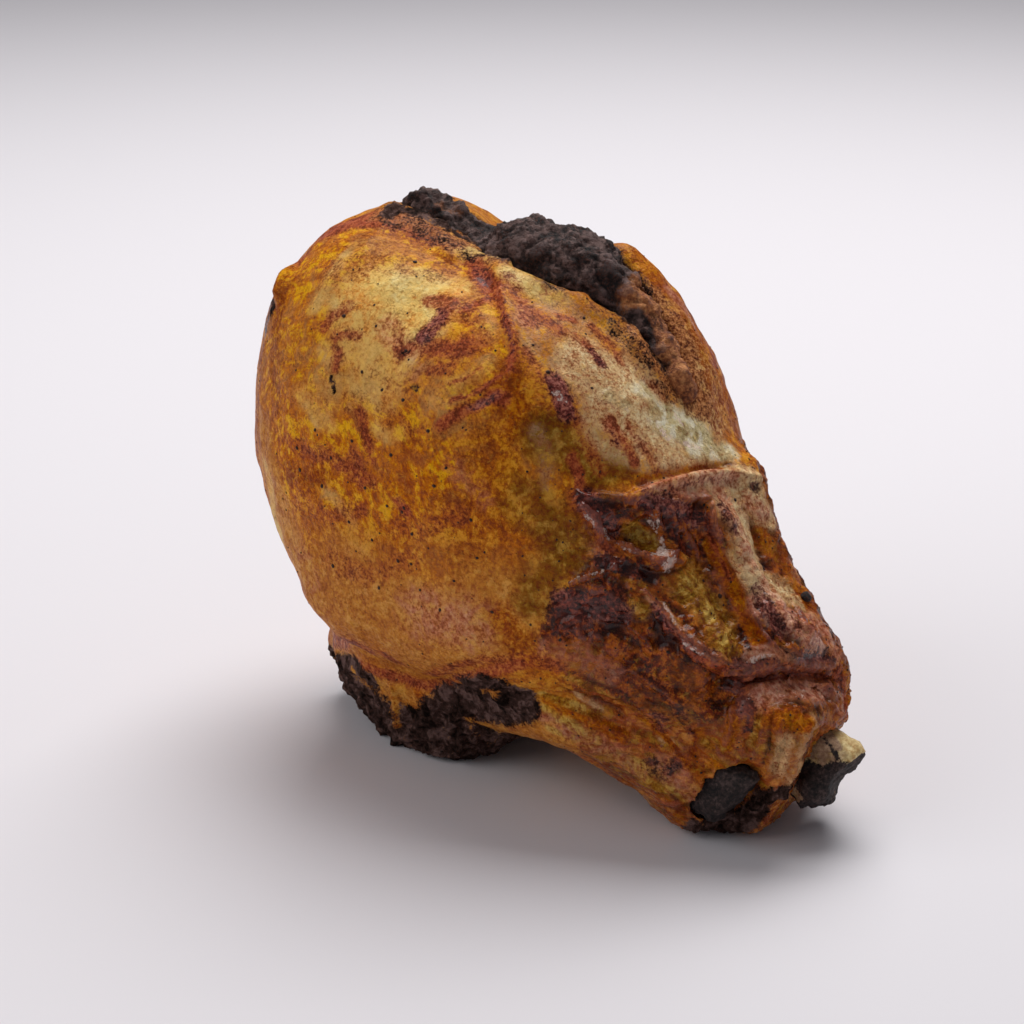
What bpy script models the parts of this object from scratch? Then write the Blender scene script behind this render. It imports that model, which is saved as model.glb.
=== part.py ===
"""A stuffed, double-cut pork chop that stands on its bone edge.

Frame: X runs along the bone edge from the chine to the rib ends, Y across the thickness, Z up.
Sizes are in millimetres until the last step, which turns them into metres and puts the origin at
the middle of the footprint.
"""

import math

import bmesh
import bpy
import numpy as np
from mathutils import Vector, noise
from mathutils.bvhtree import BVHTree

MM = 0.001

# The teardrop that the chop shows from its broad side, as (x, z) round the rim.
EYE_MIDDLE = (-14, 57)
OUTLINE = (
    (-71, 64),
    (-69, 86),
    (-60, 105),
    (-40, 116),
    (-14, 110),
    (10, 104),
    (27, 91),
    (39, 72),
    (51, 54),
    (62, 39),
    (70, 24),
    (68, 8),
    (56, 0),
    (36, 3),
    (20, 8),
    (6, 9),
    (-8, 1),
    (-30, 0),
    (-50, 1),
    (-55, 14),
    (-58, 30),
    (-65, 46),
)
# The stretch of the rim that is the crest.
CREST = OUTLINE[2:8]
# How boxy the rim is at each angle, in degrees from +X round the eye.
RIM_FULLNESS = {0: 3.2, 50: 3.2, 90: 2.7, 140: 2.5, 190: 2.4, 230: 3.2, 270: 5.0, 320: 4.2}

# Half of the thickness: the stuffed eye bulges over a narrower sole, and the rib end is thin.
EYE_HALF = 42
SOLE_HALF = 23
RIB_END_HALF = 22
BULGE_FROM_Z = 6
BULGE_TO_Z = 40
TAPER_FROM_X = 0
TAPER_TO_X = 68

# Soft pushes on the meat: where, how far the push reaches along x, y and z, and how far it moves it.
PUSHES = {
    "neck over the chine, near side": ((-52, -30, 28), (27, 25, 22), (4.5, 4.5, 1.5)),
    "neck over the chine, far side": ((-52, 30, 28), (27, 25, 22), (4.5, -4.5, 1.5)),
    "chine, near corner": ((-60, -18, 2), (18, 14, 20), (4, 5, 0)),
    "chine, far corner": ((-60, 18, 2), (18, 14, 20), (4, -5, 0)),
    "chine spur": ((-56, -8, 12), (12, 14, 9), (-5, -2, -2)),
    "chine foot": ((-22, -22, 8), (36, 14, 18), (0, -2.5, -9)),
    "chine foot, far side": ((-22, 22, 8), (36, 14, 18), (0, 3, -10)),
    "hollow under the arch": ((18, 6, 2), (26, 15, 16), (0, 0, 9)),
    "back edge of the roof": ((8, 15, 103), (26, 18, 20), (0, 1, 3.5)),
    "dip behind the mouth": ((-16, 20, 108), (28, 20, 20), (0, -2, -9)),
    "tip of the near rib": ((48, -16, 3), (12, 9, 9), (0, -1.5, -2)),
}

# Ridges and grooves that run along the surface: how high, how wide, and the path.
RIDGES = {
    "near lip": (
        1.6,
        3.0,
        (
            (-38, -8, 115), (-26, -9, 114), (-13, -11, 111), (-2, -12, 108), (8, -9, 105),
            (17, -3, 99), (27, -1, 91),
        ),
    ),
    "far lip": (
        1.8,
        4.0,
        ((2, 16, 106), (12, 16, 102), (22, 13, 95), (31, 10, 86)),
    ),
    "seam on the fat": (
        1.3,
        2.6,
        ((-9, -8, 111), (3, -19, 105), (10, -26, 99), (16, -29, 91), (20, -28, 86)),
    ),
    "crease under the bulge": (
        -2.6,
        4.0,
        ((-46, -26, 25), (-32, -32, 25), (-18, -32, 22), (-5, -31, 21), (8, -31, 24)),
    ),
    "near rib": (
        2.6,
        6.0,
        ((8, -24, 16), (24, -26, 20), (40, -22, 17), (50, -18, 12)),
    ),
    "groove over the near rib": (
        -2.0,
        3.2,
        ((16, -31, 29), (31, -29, 29), (43, -25, 26), (57, -21, 23)),
    ),
    "edge of the membrane": (
        2.6,
        3.2,
        ((33, -30, 56), (42, -25, 52), (48, -21, 48), (56, -18, 41)),
    ),
    "trough beside the middle ridge": (
        -3.4,
        5.0,
        ((45, -11, 62), (51, -12, 54), (57, -12, 45)),
    ),
    "middle ridge": (
        3.2,
        3.4,
        ((44, -2, 63), (51, -2, 55), (58, -2, 46), (62, -1, 41)),
    ),
    "far ridge": (
        1.4,
        3.8,
        ((38, 14, 70), (50, 12, 56), (60, 11, 42)),
    ),
    "pit": (
        -3.4,
        4.0,
        ((36, -23, 65), (39, -20, 64)),
    ),
    "rim of the pit": (
        1.6,
        2.4,
        ((33, -28, 61), (38, -25, 59), (43, -20, 58), (45, -16, 60)),
    ),
    "recess under the hood": (
        -4.0,
        2.8,
        ((58, -20, 35), (64, -13, 37), (68, -4, 36), (70, 4, 34)),
    ),
    "knuckle": (
        3.0,
        4.5,
        ((66, -13, 30), (68, -8, 32), (68, -2, 30)),
    ),
    "column under the knuckle": (
        3.0,
        4.0,
        ((68, -9, 27), (68, -9, 20), (66, -9, 13)),
    ),
    "groove beside the column": (
        -2.6,
        2.4,
        ((61, -15, 14), (63, -16, 20), (64, -17, 27)),
    ),
}

# Steps, where one sheet of skin lies over the next: how high, how sharp, how far on, and the path.
LEDGES = {
    "top of the membrane": (
        1.7,
        2.0,
        12,
        (
            (24, -31, 73), (31, -25, 72), (36, -18, 72), (38, -10, 73), (39, 2, 73),
            (38, 18, 70),
        ),
    ),
    "hood": (
        3.0,
        2.0,
        9,
        (
            (68, 12, 35), (66, 7, 37), (65, 0, 39), (63, -6, 41), (62, -13, 40),
            (57, -18, 41),
        ),
    ),
}

# The pocket's mouth along the crest, at each x: the middle of the opening and half of its width.
MOUTH_X = (-42, -38, -26, -14, 0, 10, 20, 27, 33)
MOUTH_Y = (-3, -1, 1, 2.2, 2.5, 4, 5.5, 4.5, 4)
MOUTH_HALF = (3, 6, 9, 12, 13, 10.5, 6, 3.5, 2)
# The stuffing fills the eye behind it, as (x, z) round the rim.
STUFFING_MIDDLE = (-6, 80)
STUFFING_OUTLINE = (
    (-45, 84),
    (-44, 104),
    (-39, 118),
    (-33, 120),
    (-27, 115.5),
    (-20, 112),
    (-12, 116),
    (-3, 116),
    (5, 115),
    (12, 112),
    (21, 103),
    (29, 91.5),
    (32, 82),
    (34, 66),
    (22, 52),
    (2, 44),
    (-20, 45),
    (-38, 60),
)
STUFFING_HALF = 13
STUFFING_WIDENS_OVER = 26
STUFFING_FULLNESS = 2.8

# Burnt crust: the size of its crags, how high they are, and where it starts on each piece.
CHAR_GRAIN = 7.0
CHAR_HEIGHT = 1.5
CHAR_MEDIAN = 0.4
FEET_CHAR_TOP_Z = 18
FEET_CHAR_FADE_Z = 6
FEET_CHAR_END_X = 12
FEET_CHAR_FADE_X = 8
STUFFING_CHAR_FROM_Z = 84
STUFFING_CHAR_FULL_Z = 98
STUFFING_CHAR = 1.6

# Rib bones: the middle line, and half of the width and of the height along it.
NEAR_RIB_LINE = ((24, -14, 18), (36, -14, 17), (48, -15, 13.5), (60, -15, 11.5))
FAR_RIB_LINE = ((42, 4, 19), (54, 4, 17), (64, 4, 15), (70.5, 4, 12))
NEAR_RIB_HALF = (4, 6.5)
FAR_RIB_HALF = (7, 8)
RIB_SIDES = 18
RIB_RINGS = 3
# How knobbly a bone is, how square its section is, and how its end is rounded off.
RIB_LUMP = 0.07
RIB_SQUARENESS = 0.8
RIB_END_ROUND = 1.2
RIB_END_SIZE = 0.86
# The saw went through both ribs aslant: the further up, the further they reach.
SAW_SLANT = 0.74
CLEARANCE = 0.3
# The meat drew back from the far rib and left a hollow under the hood.
HOLLOW_MIDDLE = (78, 7, 4)
HOLLOW_HALF = (20, 12, 19)
HOLLOW_BOXY = 0.7
# Where the meat ends at its foot, on the near rib's bar and on the column beside it.
NEAR_CUT_X = 50
NEAR_CUT_END_Y = -13
COLUMN_CUT_X = 61
COLUMN_CUT_SLANT = 0.3
COLUMN_CUT_END_Y = -3
CUT_FADE_Y = 6
UNCUT_X = 40
SHARP_ANGLE = math.radians(50)

# Colour and roughness of each piece.
FINISHES = {
    "chop_meat": ((0.50, 0.22, 0.05), 0.42),
    "stuffing": ((0.035, 0.028, 0.024), 0.85),
    "rib_bone_front": ((0.10, 0.085, 0.07), 0.75),
    "rib_bone_back": ((0.60, 0.50, 0.30), 0.60),
}

BALL_LEVELS = 6
SCULPT_VOXEL = 1.7
MEAT_TRIANGLES = 6800
STUFFING_TRIANGLES = 1300


def clear_scene():
    for old in list(bpy.data.objects):
        bpy.data.objects.remove(old)


def smooth(t):
    t = np.clip(t, 0.0, 1.0)
    return t * t * (3.0 - 2.0 * t)


def through(points, steps=24, closed=False):
    """A Catmull-Rom curve through the points."""
    ring = np.array(points, float)
    if closed:
        before, after, after2 = (np.roll(ring, n, 0) for n in (1, -1, -2))
    else:
        ends = np.vstack([2 * ring[0] - ring[1], ring, 2 * ring[-1] - ring[-2]])
        before, ring, after, after2 = ends[:-3], ends[1:-2], ends[2:-1], ends[3:]
    t = np.linspace(0, 1, steps, endpoint=False)[:, None, None]
    curve = 0.5 * (
        2 * ring
        + (after - before) * t
        + (2 * before - 5 * ring + 4 * after - after2) * t**2
        + (3 * ring - before - 3 * after + after2) * t**3
    )
    return curve.transpose(1, 0, 2).reshape(-1, ring.shape[1])


def reach_of(outline, middle, angle):
    """How far an outline reaches from its middle at each angle."""
    curve = through(outline, closed=True) - middle
    turn = np.arctan2(curve[:, 1], curve[:, 0])
    order = np.argsort(turn)
    return np.interp(angle, turn[order], np.hypot(*curve.T)[order], period=2 * math.pi)


def chop_form(ball):
    """Maps a unit ball's points to the plain chop."""
    across = np.clip(ball[:, 1], -1, 1)
    around = np.arctan2(ball[:, 2], ball[:, 0])
    angles = np.radians(list(RIM_FULLNESS))
    power = 2 / np.interp(around, angles, list(RIM_FULLNESS.values()), period=2 * math.pi)
    reach = reach_of(OUTLINE, EYE_MIDDLE, around) * np.sqrt(1 - across**2) ** power
    x = EYE_MIDDLE[0] + reach * np.cos(around)
    z = EYE_MIDDLE[1] + reach * np.sin(around)
    bulge = smooth((z - BULGE_FROM_Z) / (BULGE_TO_Z - BULGE_FROM_Z))
    eye_half = SOLE_HALF + (EYE_HALF - SOLE_HALF) * bulge
    taper = smooth((x - TAPER_FROM_X) / (TAPER_TO_X - TAPER_FROM_X))
    half = eye_half + (RIB_END_HALF - eye_half) * taper
    y = half * np.sign(across) * np.abs(across) ** power
    return np.column_stack([x, y, z])


def stuffing_form(ball):
    """Maps a unit ball's points to the filling: a thick sheet in the eye that narrows to the mouth."""
    across = np.clip(ball[:, 1], -1, 1)
    around = np.arctan2(ball[:, 2], ball[:, 0])
    power = 2 / STUFFING_FULLNESS
    rim = reach_of(STUFFING_OUTLINE, STUFFING_MIDDLE, around)
    reach = rim * np.sqrt(1 - across**2) ** power
    x = STUFFING_MIDDLE[0] + reach * np.cos(around)
    z = STUFFING_MIDDLE[1] + reach * np.sin(around)
    crest = through(CREST)
    depth = np.interp(x, crest[:, 0], crest[:, 1]) - z
    mouth = np.interp(x, MOUTH_X, MOUTH_HALF)
    half = mouth + (STUFFING_HALF - mouth) * smooth(depth / STUFFING_WIDENS_OVER)
    y = np.interp(x, MOUTH_X, MOUTH_Y) + half * np.sign(across) * np.abs(across) ** power
    return np.column_stack([x, y, z])


def new_object(name, verts, faces):
    mesh = bpy.data.meshes.new(name)
    mesh.from_pydata([tuple(v) for v in verts], [], faces)
    obj = bpy.data.objects.new(name, mesh)
    bpy.context.scene.collection.objects.link(obj)
    return obj


def make_ball(name, levels):
    ball = new_object(name, [], [])
    bm = bmesh.new()
    bmesh.ops.create_icosphere(bm, subdivisions=levels, radius=1.0)
    bm.to_mesh(ball.data)
    bm.free()
    return ball


def points_of(obj):
    co = np.zeros(len(obj.data.vertices) * 3, np.float32)
    obj.data.vertices.foreach_get("co", co)
    return co.reshape(-1, 3).astype(float)


def set_points(obj, points):
    obj.data.vertices.foreach_set("co", points.astype(np.float32).ravel())
    obj.data.update()


def normals_of(obj):
    out = np.zeros(len(obj.data.vertices) * 3, np.float32)
    obj.data.vertex_normals.foreach_get("vector", out)
    return out.reshape(-1, 3).astype(float)


def apply_modifiers(obj):
    bpy.context.view_layer.update()
    done = bpy.data.meshes.new_from_object(obj.evaluated_get(bpy.context.evaluated_depsgraph_get()))
    obj.modifiers.clear()
    obj.data = done


def even_out(obj, voxel):
    """Gives the mesh cells of one size, so that reliefs come out the same everywhere."""
    remesh = obj.modifiers.new("even", "REMESH")
    remesh.mode = "VOXEL"
    remesh.voxel_size = voxel
    apply_modifiers(obj)


def thin_out(obj, triangles):
    obj.data.calc_loop_triangles()
    fewer = obj.modifiers.new("fewer", "DECIMATE")
    fewer.ratio = min(1.0, triangles / len(obj.data.loop_triangles))
    fewer.use_collapse_triangulate = True
    apply_modifiers(obj)


def push(points, at, reach, move):
    """Moves what lies near a point, less and less towards the end of the reach."""
    near = 1 - np.linalg.norm((points - at) / reach, axis=1)
    return points + smooth(near)[:, None] * np.array(move, float)


def on_surface(obj, path):
    """A path's points, each taken to the nearest point of the surface, with the normal there."""
    mesh = obj.data
    tree = BVHTree.FromPolygons([v.co for v in mesh.vertices], [p.vertices for p in mesh.polygons])
    found = [tree.find_nearest(Vector(p)) for p in through(path, 8)]
    return np.array([f[0] for f in found]), np.array([f[1] for f in found])


def nearest_on(points, path):
    """For each point, the index of the path's nearest point, and how far away that is."""
    gaps = np.linalg.norm(points[:, None, :] - path[None, :, :], axis=2)
    return gaps.argmin(1), gaps.min(1)


def add_ridge(obj, path, height, width):
    points = points_of(obj)
    line, _ = on_surface(obj, path)
    _, gap = nearest_on(points, line)
    rise = height * np.exp(-((gap / width) ** 2))
    set_points(obj, points + normals_of(obj) * rise[:, None])


def add_ledge(obj, path, height, sharpness, run):
    """Raises the surface on one side of the path, and lets it sink back along the run."""
    points = points_of(obj)
    line, out = on_surface(obj, path)
    index, gap = nearest_on(points, line)
    along = np.gradient(line, axis=0)
    along /= np.linalg.norm(along, axis=1)[:, None] + 1e-9
    right = np.cross(along, out)
    side = ((points - line[index]) * right[index]).sum(1)
    rise = height * smooth(0.5 + side / (2 * sharpness)) * np.exp(-((gap / run) ** 2))
    set_points(obj, points + normals_of(obj) * rise[:, None])


def add_char(obj, amount):
    """Crags of burnt crust, as high as the amount says at each point."""
    points = points_of(obj)
    crag = np.array([noise.turbulence(Vector(p) / CHAR_GRAIN, 2, True) for p in points])
    rise = CHAR_HEIGHT * amount * (crag - CHAR_MEDIAN)
    set_points(obj, points + normals_of(obj) * rise[:, None])


def saw_off(points):
    """Ends the meat along the slanted saw cut: the bar of the near rib, then the column beside it."""
    x, y, z = points.T
    past_bar = smooth((y - NEAR_CUT_END_Y) / CUT_FADE_Y)
    past_column = smooth((y - COLUMN_CUT_END_Y) / CUT_FADE_Y)
    bar = NEAR_CUT_X + SAW_SLANT * z + UNCUT_X * past_bar
    column = COLUMN_CUT_X + COLUMN_CUT_SLANT * z + UNCUT_X * past_column
    points[:, 0] = np.minimum(x, np.minimum(bar, column))
    return points


def make_meat():
    meat = make_ball("chop_meat", BALL_LEVELS)
    points = chop_form(points_of(meat))
    for at, reach, move in PUSHES.values():
        points = push(points, at, reach, move)
    points = saw_off(points)
    set_points(meat, points)
    even_out(meat, SCULPT_VOXEL)
    for height, width, path in RIDGES.values():
        add_ridge(meat, path, height, width)
    for height, sharpness, run, path in LEDGES.values():
        add_ledge(meat, path, height, sharpness, run)
    points = points_of(meat)
    low = smooth((FEET_CHAR_TOP_Z - points[:, 2]) / FEET_CHAR_FADE_Z)
    under_chine = smooth((FEET_CHAR_END_X - points[:, 0]) / FEET_CHAR_FADE_X)
    add_char(meat, low * under_chine)
    points = points_of(meat)
    points[:, 2] = np.maximum(points[:, 2], 0)
    set_points(meat, points)
    thin_out(meat, MEAT_TRIANGLES)
    return meat


def make_stuffing():
    stuffing = make_ball("stuffing", BALL_LEVELS - 1)
    set_points(stuffing, stuffing_form(points_of(stuffing)))
    height = points_of(stuffing)[:, 2]
    span = STUFFING_CHAR_FULL_Z - STUFFING_CHAR_FROM_Z
    add_char(stuffing, STUFFING_CHAR * smooth((height - STUFFING_CHAR_FROM_Z) / span))
    thin_out(stuffing, STUFFING_TRIANGLES)
    return stuffing


def make_rib(name, line, half):
    """A sawn bone, a little knobbly, that runs back into the meat."""
    sides = RIB_SIDES
    end = np.array(line[-1], float)
    middle = np.vstack([through(line, RIB_RINGS), end - (RIB_END_ROUND, 0, 0), end])
    verts = []
    for i, at in enumerate(middle):
        t = i / (len(middle) - 1)
        slant = SAW_SLANT * smooth(2 * t - 1)
        size = RIB_END_SIZE if i == len(middle) - 1 else 1.0
        for turn in np.linspace(0, 2 * math.pi, sides, endpoint=False):
            c, s = math.cos(turn), math.sin(turn)
            lump = size * (1 + RIB_LUMP * math.sin(3 * turn + 4 * t))
            y = at[1] + half[0] * lump * math.copysign(abs(c) ** RIB_SQUARENESS, c)
            z = at[2] + half[1] * lump * math.copysign(abs(s) ** RIB_SQUARENESS, s)
            verts.append((at[0] + slant * (z - at[2]), y, z))
    faces = []
    for i in range(len(middle) - 1):
        for j in range(sides):
            a, b = i * sides + j, i * sides + (j + 1) % sides
            faces.append((a, b, b + sides, a + sides))
    faces.append(tuple(range(sides))[::-1])
    last = (len(middle) - 1) * sides
    faces.append(tuple(range(last, last + sides)))
    return new_object(name, verts, faces)


def grown(obj, name, by):
    """A copy whose skin lies further out, to cut the room that the piece sits in."""
    copy = bpy.data.objects.new(name, obj.data.copy())
    bpy.context.scene.collection.objects.link(copy)
    set_points(copy, points_of(copy) + normals_of(copy) * by)
    copy.hide_render = True
    copy.display_type = "WIRE"
    return copy


def make_hollow():
    """The room under the hood, where the meat drew back from the end of the far rib."""
    hollow = make_ball("hollow_room", 3)
    points = points_of(hollow)
    boxy = np.sign(points) * np.abs(points) ** HOLLOW_BOXY
    set_points(hollow, boxy * HOLLOW_HALF + HOLLOW_MIDDLE)
    hollow.hide_render = True
    hollow.display_type = "WIRE"
    return hollow


def cut(obj, cutter):
    boolean = obj.modifiers.new("cut", "BOOLEAN")
    boolean.operation = "DIFFERENCE"
    boolean.solver = "EXACT"
    boolean.object = cutter
    apply_modifiers(obj)


def finish(piece):
    """Smooth shading and the piece's own colour."""
    piece.data.shade_smooth()
    piece.data.set_sharp_from_angle(angle=SHARP_ANGLE)
    color, roughness = FINISHES[piece.name]
    material = bpy.data.materials.new(piece.name + "_finish")
    material.use_nodes = True
    shader = material.node_tree.nodes["Principled BSDF"]
    shader.inputs["Base Color"].default_value = (*color, 1.0)
    shader.inputs["Roughness"].default_value = roughness
    shader.inputs["Metallic"].default_value = 0.0
    piece.data.materials.clear()
    piece.data.materials.append(material)


def main():
    clear_scene()
    meat = make_meat()
    stuffing = make_stuffing()
    near_rib = make_rib("rib_bone_front", NEAR_RIB_LINE, NEAR_RIB_HALF)
    far_rib = make_rib("rib_bone_back", FAR_RIB_LINE, FAR_RIB_HALF)
    for piece in (stuffing, near_rib, far_rib):
        cut(meat, grown(piece, piece.name + "_room", CLEARANCE))
    cut(meat, make_hollow())
    pieces = (meat, stuffing, near_rib, far_rib)
    every = np.vstack([points_of(piece) for piece in pieces])
    middle = (every.min(0) + every.max(0)) / 2
    footprint = np.array([middle[0], middle[1], every[:, 2].min()])
    for obj in bpy.context.scene.objects:
        set_points(obj, (points_of(obj) - footprint) * MM)
    for piece in pieces:
        finish(piece)


main()
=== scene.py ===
# %% [markdown]
# # A stuffed pork chop, roasted until its edges burnt
#
# A double-cut chop stands on its bone edge. Its solids come packed as a fixed frame: the meat, the
# stuffing in its pocket, and two sawn rib ends. They have the true form and size, but their faces are
# a few millimetres across, and they have no finish.
#
# This lesson makes what a solid can't show: crinkled membrane, char crags, pores, pepper, and the
# colours of roasted skin, fat and bone. It goes from the camera, through the shapes, to the finishes.

# %% The frame
import math

import bpy
import numpy as np
from mathutils import Matrix, Vector, noise
from mathutils.bvhtree import BVHTree


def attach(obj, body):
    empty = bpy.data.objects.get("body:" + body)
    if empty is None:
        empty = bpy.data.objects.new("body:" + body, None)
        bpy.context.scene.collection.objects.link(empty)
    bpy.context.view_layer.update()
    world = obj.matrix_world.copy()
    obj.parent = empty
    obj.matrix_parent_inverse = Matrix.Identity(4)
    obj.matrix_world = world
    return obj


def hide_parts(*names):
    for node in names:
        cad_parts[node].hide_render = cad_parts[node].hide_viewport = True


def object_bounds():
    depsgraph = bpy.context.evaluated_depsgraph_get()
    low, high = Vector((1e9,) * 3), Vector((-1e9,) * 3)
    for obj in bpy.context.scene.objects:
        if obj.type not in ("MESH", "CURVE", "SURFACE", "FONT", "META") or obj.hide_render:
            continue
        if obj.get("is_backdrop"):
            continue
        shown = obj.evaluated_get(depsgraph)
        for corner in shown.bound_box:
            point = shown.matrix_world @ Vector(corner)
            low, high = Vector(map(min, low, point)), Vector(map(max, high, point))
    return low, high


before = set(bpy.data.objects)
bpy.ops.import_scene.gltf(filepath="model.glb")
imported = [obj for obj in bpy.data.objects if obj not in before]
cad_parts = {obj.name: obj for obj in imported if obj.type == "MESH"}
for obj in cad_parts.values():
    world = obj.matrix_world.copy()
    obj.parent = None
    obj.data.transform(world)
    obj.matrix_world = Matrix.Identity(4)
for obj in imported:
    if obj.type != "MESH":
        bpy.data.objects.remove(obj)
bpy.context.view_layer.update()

MM = 0.001
bpy.ops.object.select_all(action="DESELECT")

# %% [markdown]
# ## The camera comes first
#
# Many marks on the meat are placed where the reference picture shows them, so the camera has to stand
# before anything is painted. It stands 20 degrees above the table and 40 degrees round from the broad
# side, and its lens sees 24 degrees, both ways, as the picture is square.

# %% The camera at the picture's angle
PICTURE_SIDE = 1024
ROUND_FROM_BROAD_SIDE = math.radians(40)
ABOVE_THE_TABLE = math.radians(20)
CAMERA_DISTANCE = 0.5125      # metres
LENS_ANGLE = math.radians(24)
LOOKED_AT = Vector((-9.0, -5.89, 54.48)) * MM
SENSOR_WIDTH = 36.0

toward_camera = Vector(
    (
        math.sin(ROUND_FROM_BROAD_SIDE) * math.cos(ABOVE_THE_TABLE),
        -math.cos(ROUND_FROM_BROAD_SIDE) * math.cos(ABOVE_THE_TABLE),
        math.sin(ABOVE_THE_TABLE),
    )
)
bpy.ops.object.camera_add(location=LOOKED_AT + toward_camera * CAMERA_DISTANCE)
camera = bpy.context.object
camera.name = "camera"
camera.rotation_euler = (-toward_camera).to_track_quat("-Z", "Y").to_euler()
camera.data.sensor_width = SENSOR_WIDTH
camera.data.lens = SENSOR_WIDTH / 2 / math.tan(LENS_ANGLE / 2)
bpy.context.scene.camera = camera
print("the lens is", round(camera.data.lens, 1), "mm long")

# %% [markdown]
# ## Selecting, and modifiers that are applied
#
# An operator works on what is selected, so a small helper selects one piece and nothing else. A second
# one adds a modifier, sets it and applies it, as in the modifier panel.

# %% Two helpers for working by hand
def only(piece):
    """Selects one object and makes it the active one."""
    bpy.ops.object.select_all(action="DESELECT")
    piece.select_set(True)
    bpy.context.view_layer.objects.active = piece


def modify(piece, kind, **settings):
    """Adds a modifier to a piece, sets it and applies it."""
    only(piece)
    bpy.ops.object.modifier_add(type=kind)
    modifier = piece.modifiers[-1]
    for name, value in settings.items():
        setattr(modifier, name, value)
    bpy.ops.object.modifier_apply(modifier=modifier.name)


# %% [markdown]
# ## From a solid to something that can be sculpted
#
# The meat could be subdivided, but its triangles are of very different sizes, and so would be the
# detail on them. A voxel remesh gives cells of one size everywhere, as a sculptor's mesh has. The copy
# of a solid comes as loose triangles, so they are merged first. A short smoothing then takes away the
# solid's flat facets.

# %% Finer copies of the four solids
MERGE_WITHIN = 0.005 * MM
MEAT_CELL = 1.1 * MM
STUFFING_CELL = 0.5 * MM
BONE_CELL = 0.45 * MM


def finer_copy(node, name, cell, rounds):
    """A copy of a solid with even cells, eased by some rounds of smoothing."""
    piece = bpy.data.objects.new(name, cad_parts[node].data.copy())
    bpy.context.scene.collection.objects.link(piece)
    only(piece)
    bpy.ops.object.mode_set(mode="EDIT")
    bpy.ops.mesh.select_all(action="SELECT")
    bpy.ops.mesh.remove_doubles(threshold=MERGE_WITHIN)
    bpy.ops.object.mode_set(mode="OBJECT")
    modify(piece, "REMESH", mode="VOXEL", voxel_size=cell)
    modify(piece, "SMOOTH", factor=0.5, iterations=rounds)
    piece.data.materials.clear()
    bpy.ops.object.shade_smooth()
    return piece


meat = finer_copy("chop_meat", "roasted_chop", MEAT_CELL, rounds=5)
stuffing = finer_copy("stuffing", "burnt_stuffing", STUFFING_CELL, rounds=5)
front_rib = finer_copy("rib_bone_front", "sawn_rib_front", BONE_CELL, rounds=6)
back_rib = finer_copy("rib_bone_back", "sawn_rib_back", BONE_CELL, rounds=6)
for piece in (meat, stuffing, front_rib, back_rib):
    print(piece.name, "has", len(piece.data.polygons), "cells")

# %% [markdown]
# ## Points as arrays
#
# Sculpting in code moves thousands of points at once, so they are read into arrays, moved, and written
# back. Sizes are in millimetres from here on, because that is how a cook's ruler reads.

# %% Reading and moving points
def points_of(piece):
    """The piece's points, in millimetres."""
    flat = np.zeros(len(piece.data.vertices) * 3, np.float32)
    piece.data.vertices.foreach_get("co", flat)
    return flat.reshape(-1, 3).astype(float) / MM


def set_points(piece, points):
    """Moves the piece's points to the given places, in millimetres."""
    piece.data.vertices.foreach_set("co", (points * MM).astype(np.float32).ravel())
    piece.data.update()


def normals_of(piece):
    """The way each point faces, outwards."""
    flat = np.zeros(len(piece.data.vertices) * 3, np.float32)
    piece.data.vertex_normals.foreach_get("vector", flat)
    return flat.reshape(-1, 3).astype(float)


def smooth(t):
    """An eased step from 0 to 1."""
    t = np.clip(t, 0.0, 1.0)
    return t * t * (3.0 - 2.0 * t)


print("the meat starts with", len(points_of(meat)), "points")

# %% [markdown]
# ## More cells where the detail is
#
# The rib end has thin folds and the feet have crags, while the round side is plain skin. So the cells
# that hold fine detail are halved, by selecting their faces and subdividing them in edit mode.

# %% Halving the cells of the rib end and the feet
RIB_END_X = 18.0
RIB_END_TOP = 78.0
FEET_HEIGHT = 17.0
NEAR_SIDE_Y = 4.0
FACING = 0.0


def halve_cells(piece, chosen):
    """Subdivides the chosen faces of a piece once, and eases them."""
    only(piece)
    bpy.context.tool_settings.mesh_select_mode = (False, False, True)
    bpy.ops.object.mode_set(mode="EDIT")
    bpy.ops.mesh.select_all(action="DESELECT")
    bpy.ops.object.mode_set(mode="OBJECT")
    piece.data.polygons.foreach_set("select", chosen)
    bpy.ops.object.mode_set(mode="EDIT")
    bpy.ops.mesh.subdivide(number_cuts=1)
    bpy.ops.mesh.vertices_smooth(factor=0.5, repeat=2)
    bpy.ops.object.mode_set(mode="OBJECT")


faces = meat.data.polygons
middles = np.array([face.center for face in faces]) / MM
facing = np.array([face.normal.dot(toward_camera) for face in faces]) > FACING
rib_end_faces = (middles[:, 0] > RIB_END_X) & (middles[:, 2] < RIB_END_TOP)
foot_faces = (middles[:, 2] < FEET_HEIGHT) & (middles[:, 1] < NEAR_SIDE_Y)
halve_cells(meat, facing & (rib_end_faces | foot_faces))
triangles = sum(len(face.vertices) - 2 for face in meat.data.polygons)
print("the meat now has", len(meat.data.polygons), "cells and", triangles, "triangles")

# %% [markdown]
# ## Placing a mark where the picture shows it
#
# A mark is given as a path of picture positions. Each one is a line of sight from the camera, and where
# that line meets the surface is where the mark goes. It then lies on the meat as seen from any side,
# because its reach is measured on the surface and not in the picture.

# %% From picture positions to places on the surface
STEPS_BETWEEN = 14


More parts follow.
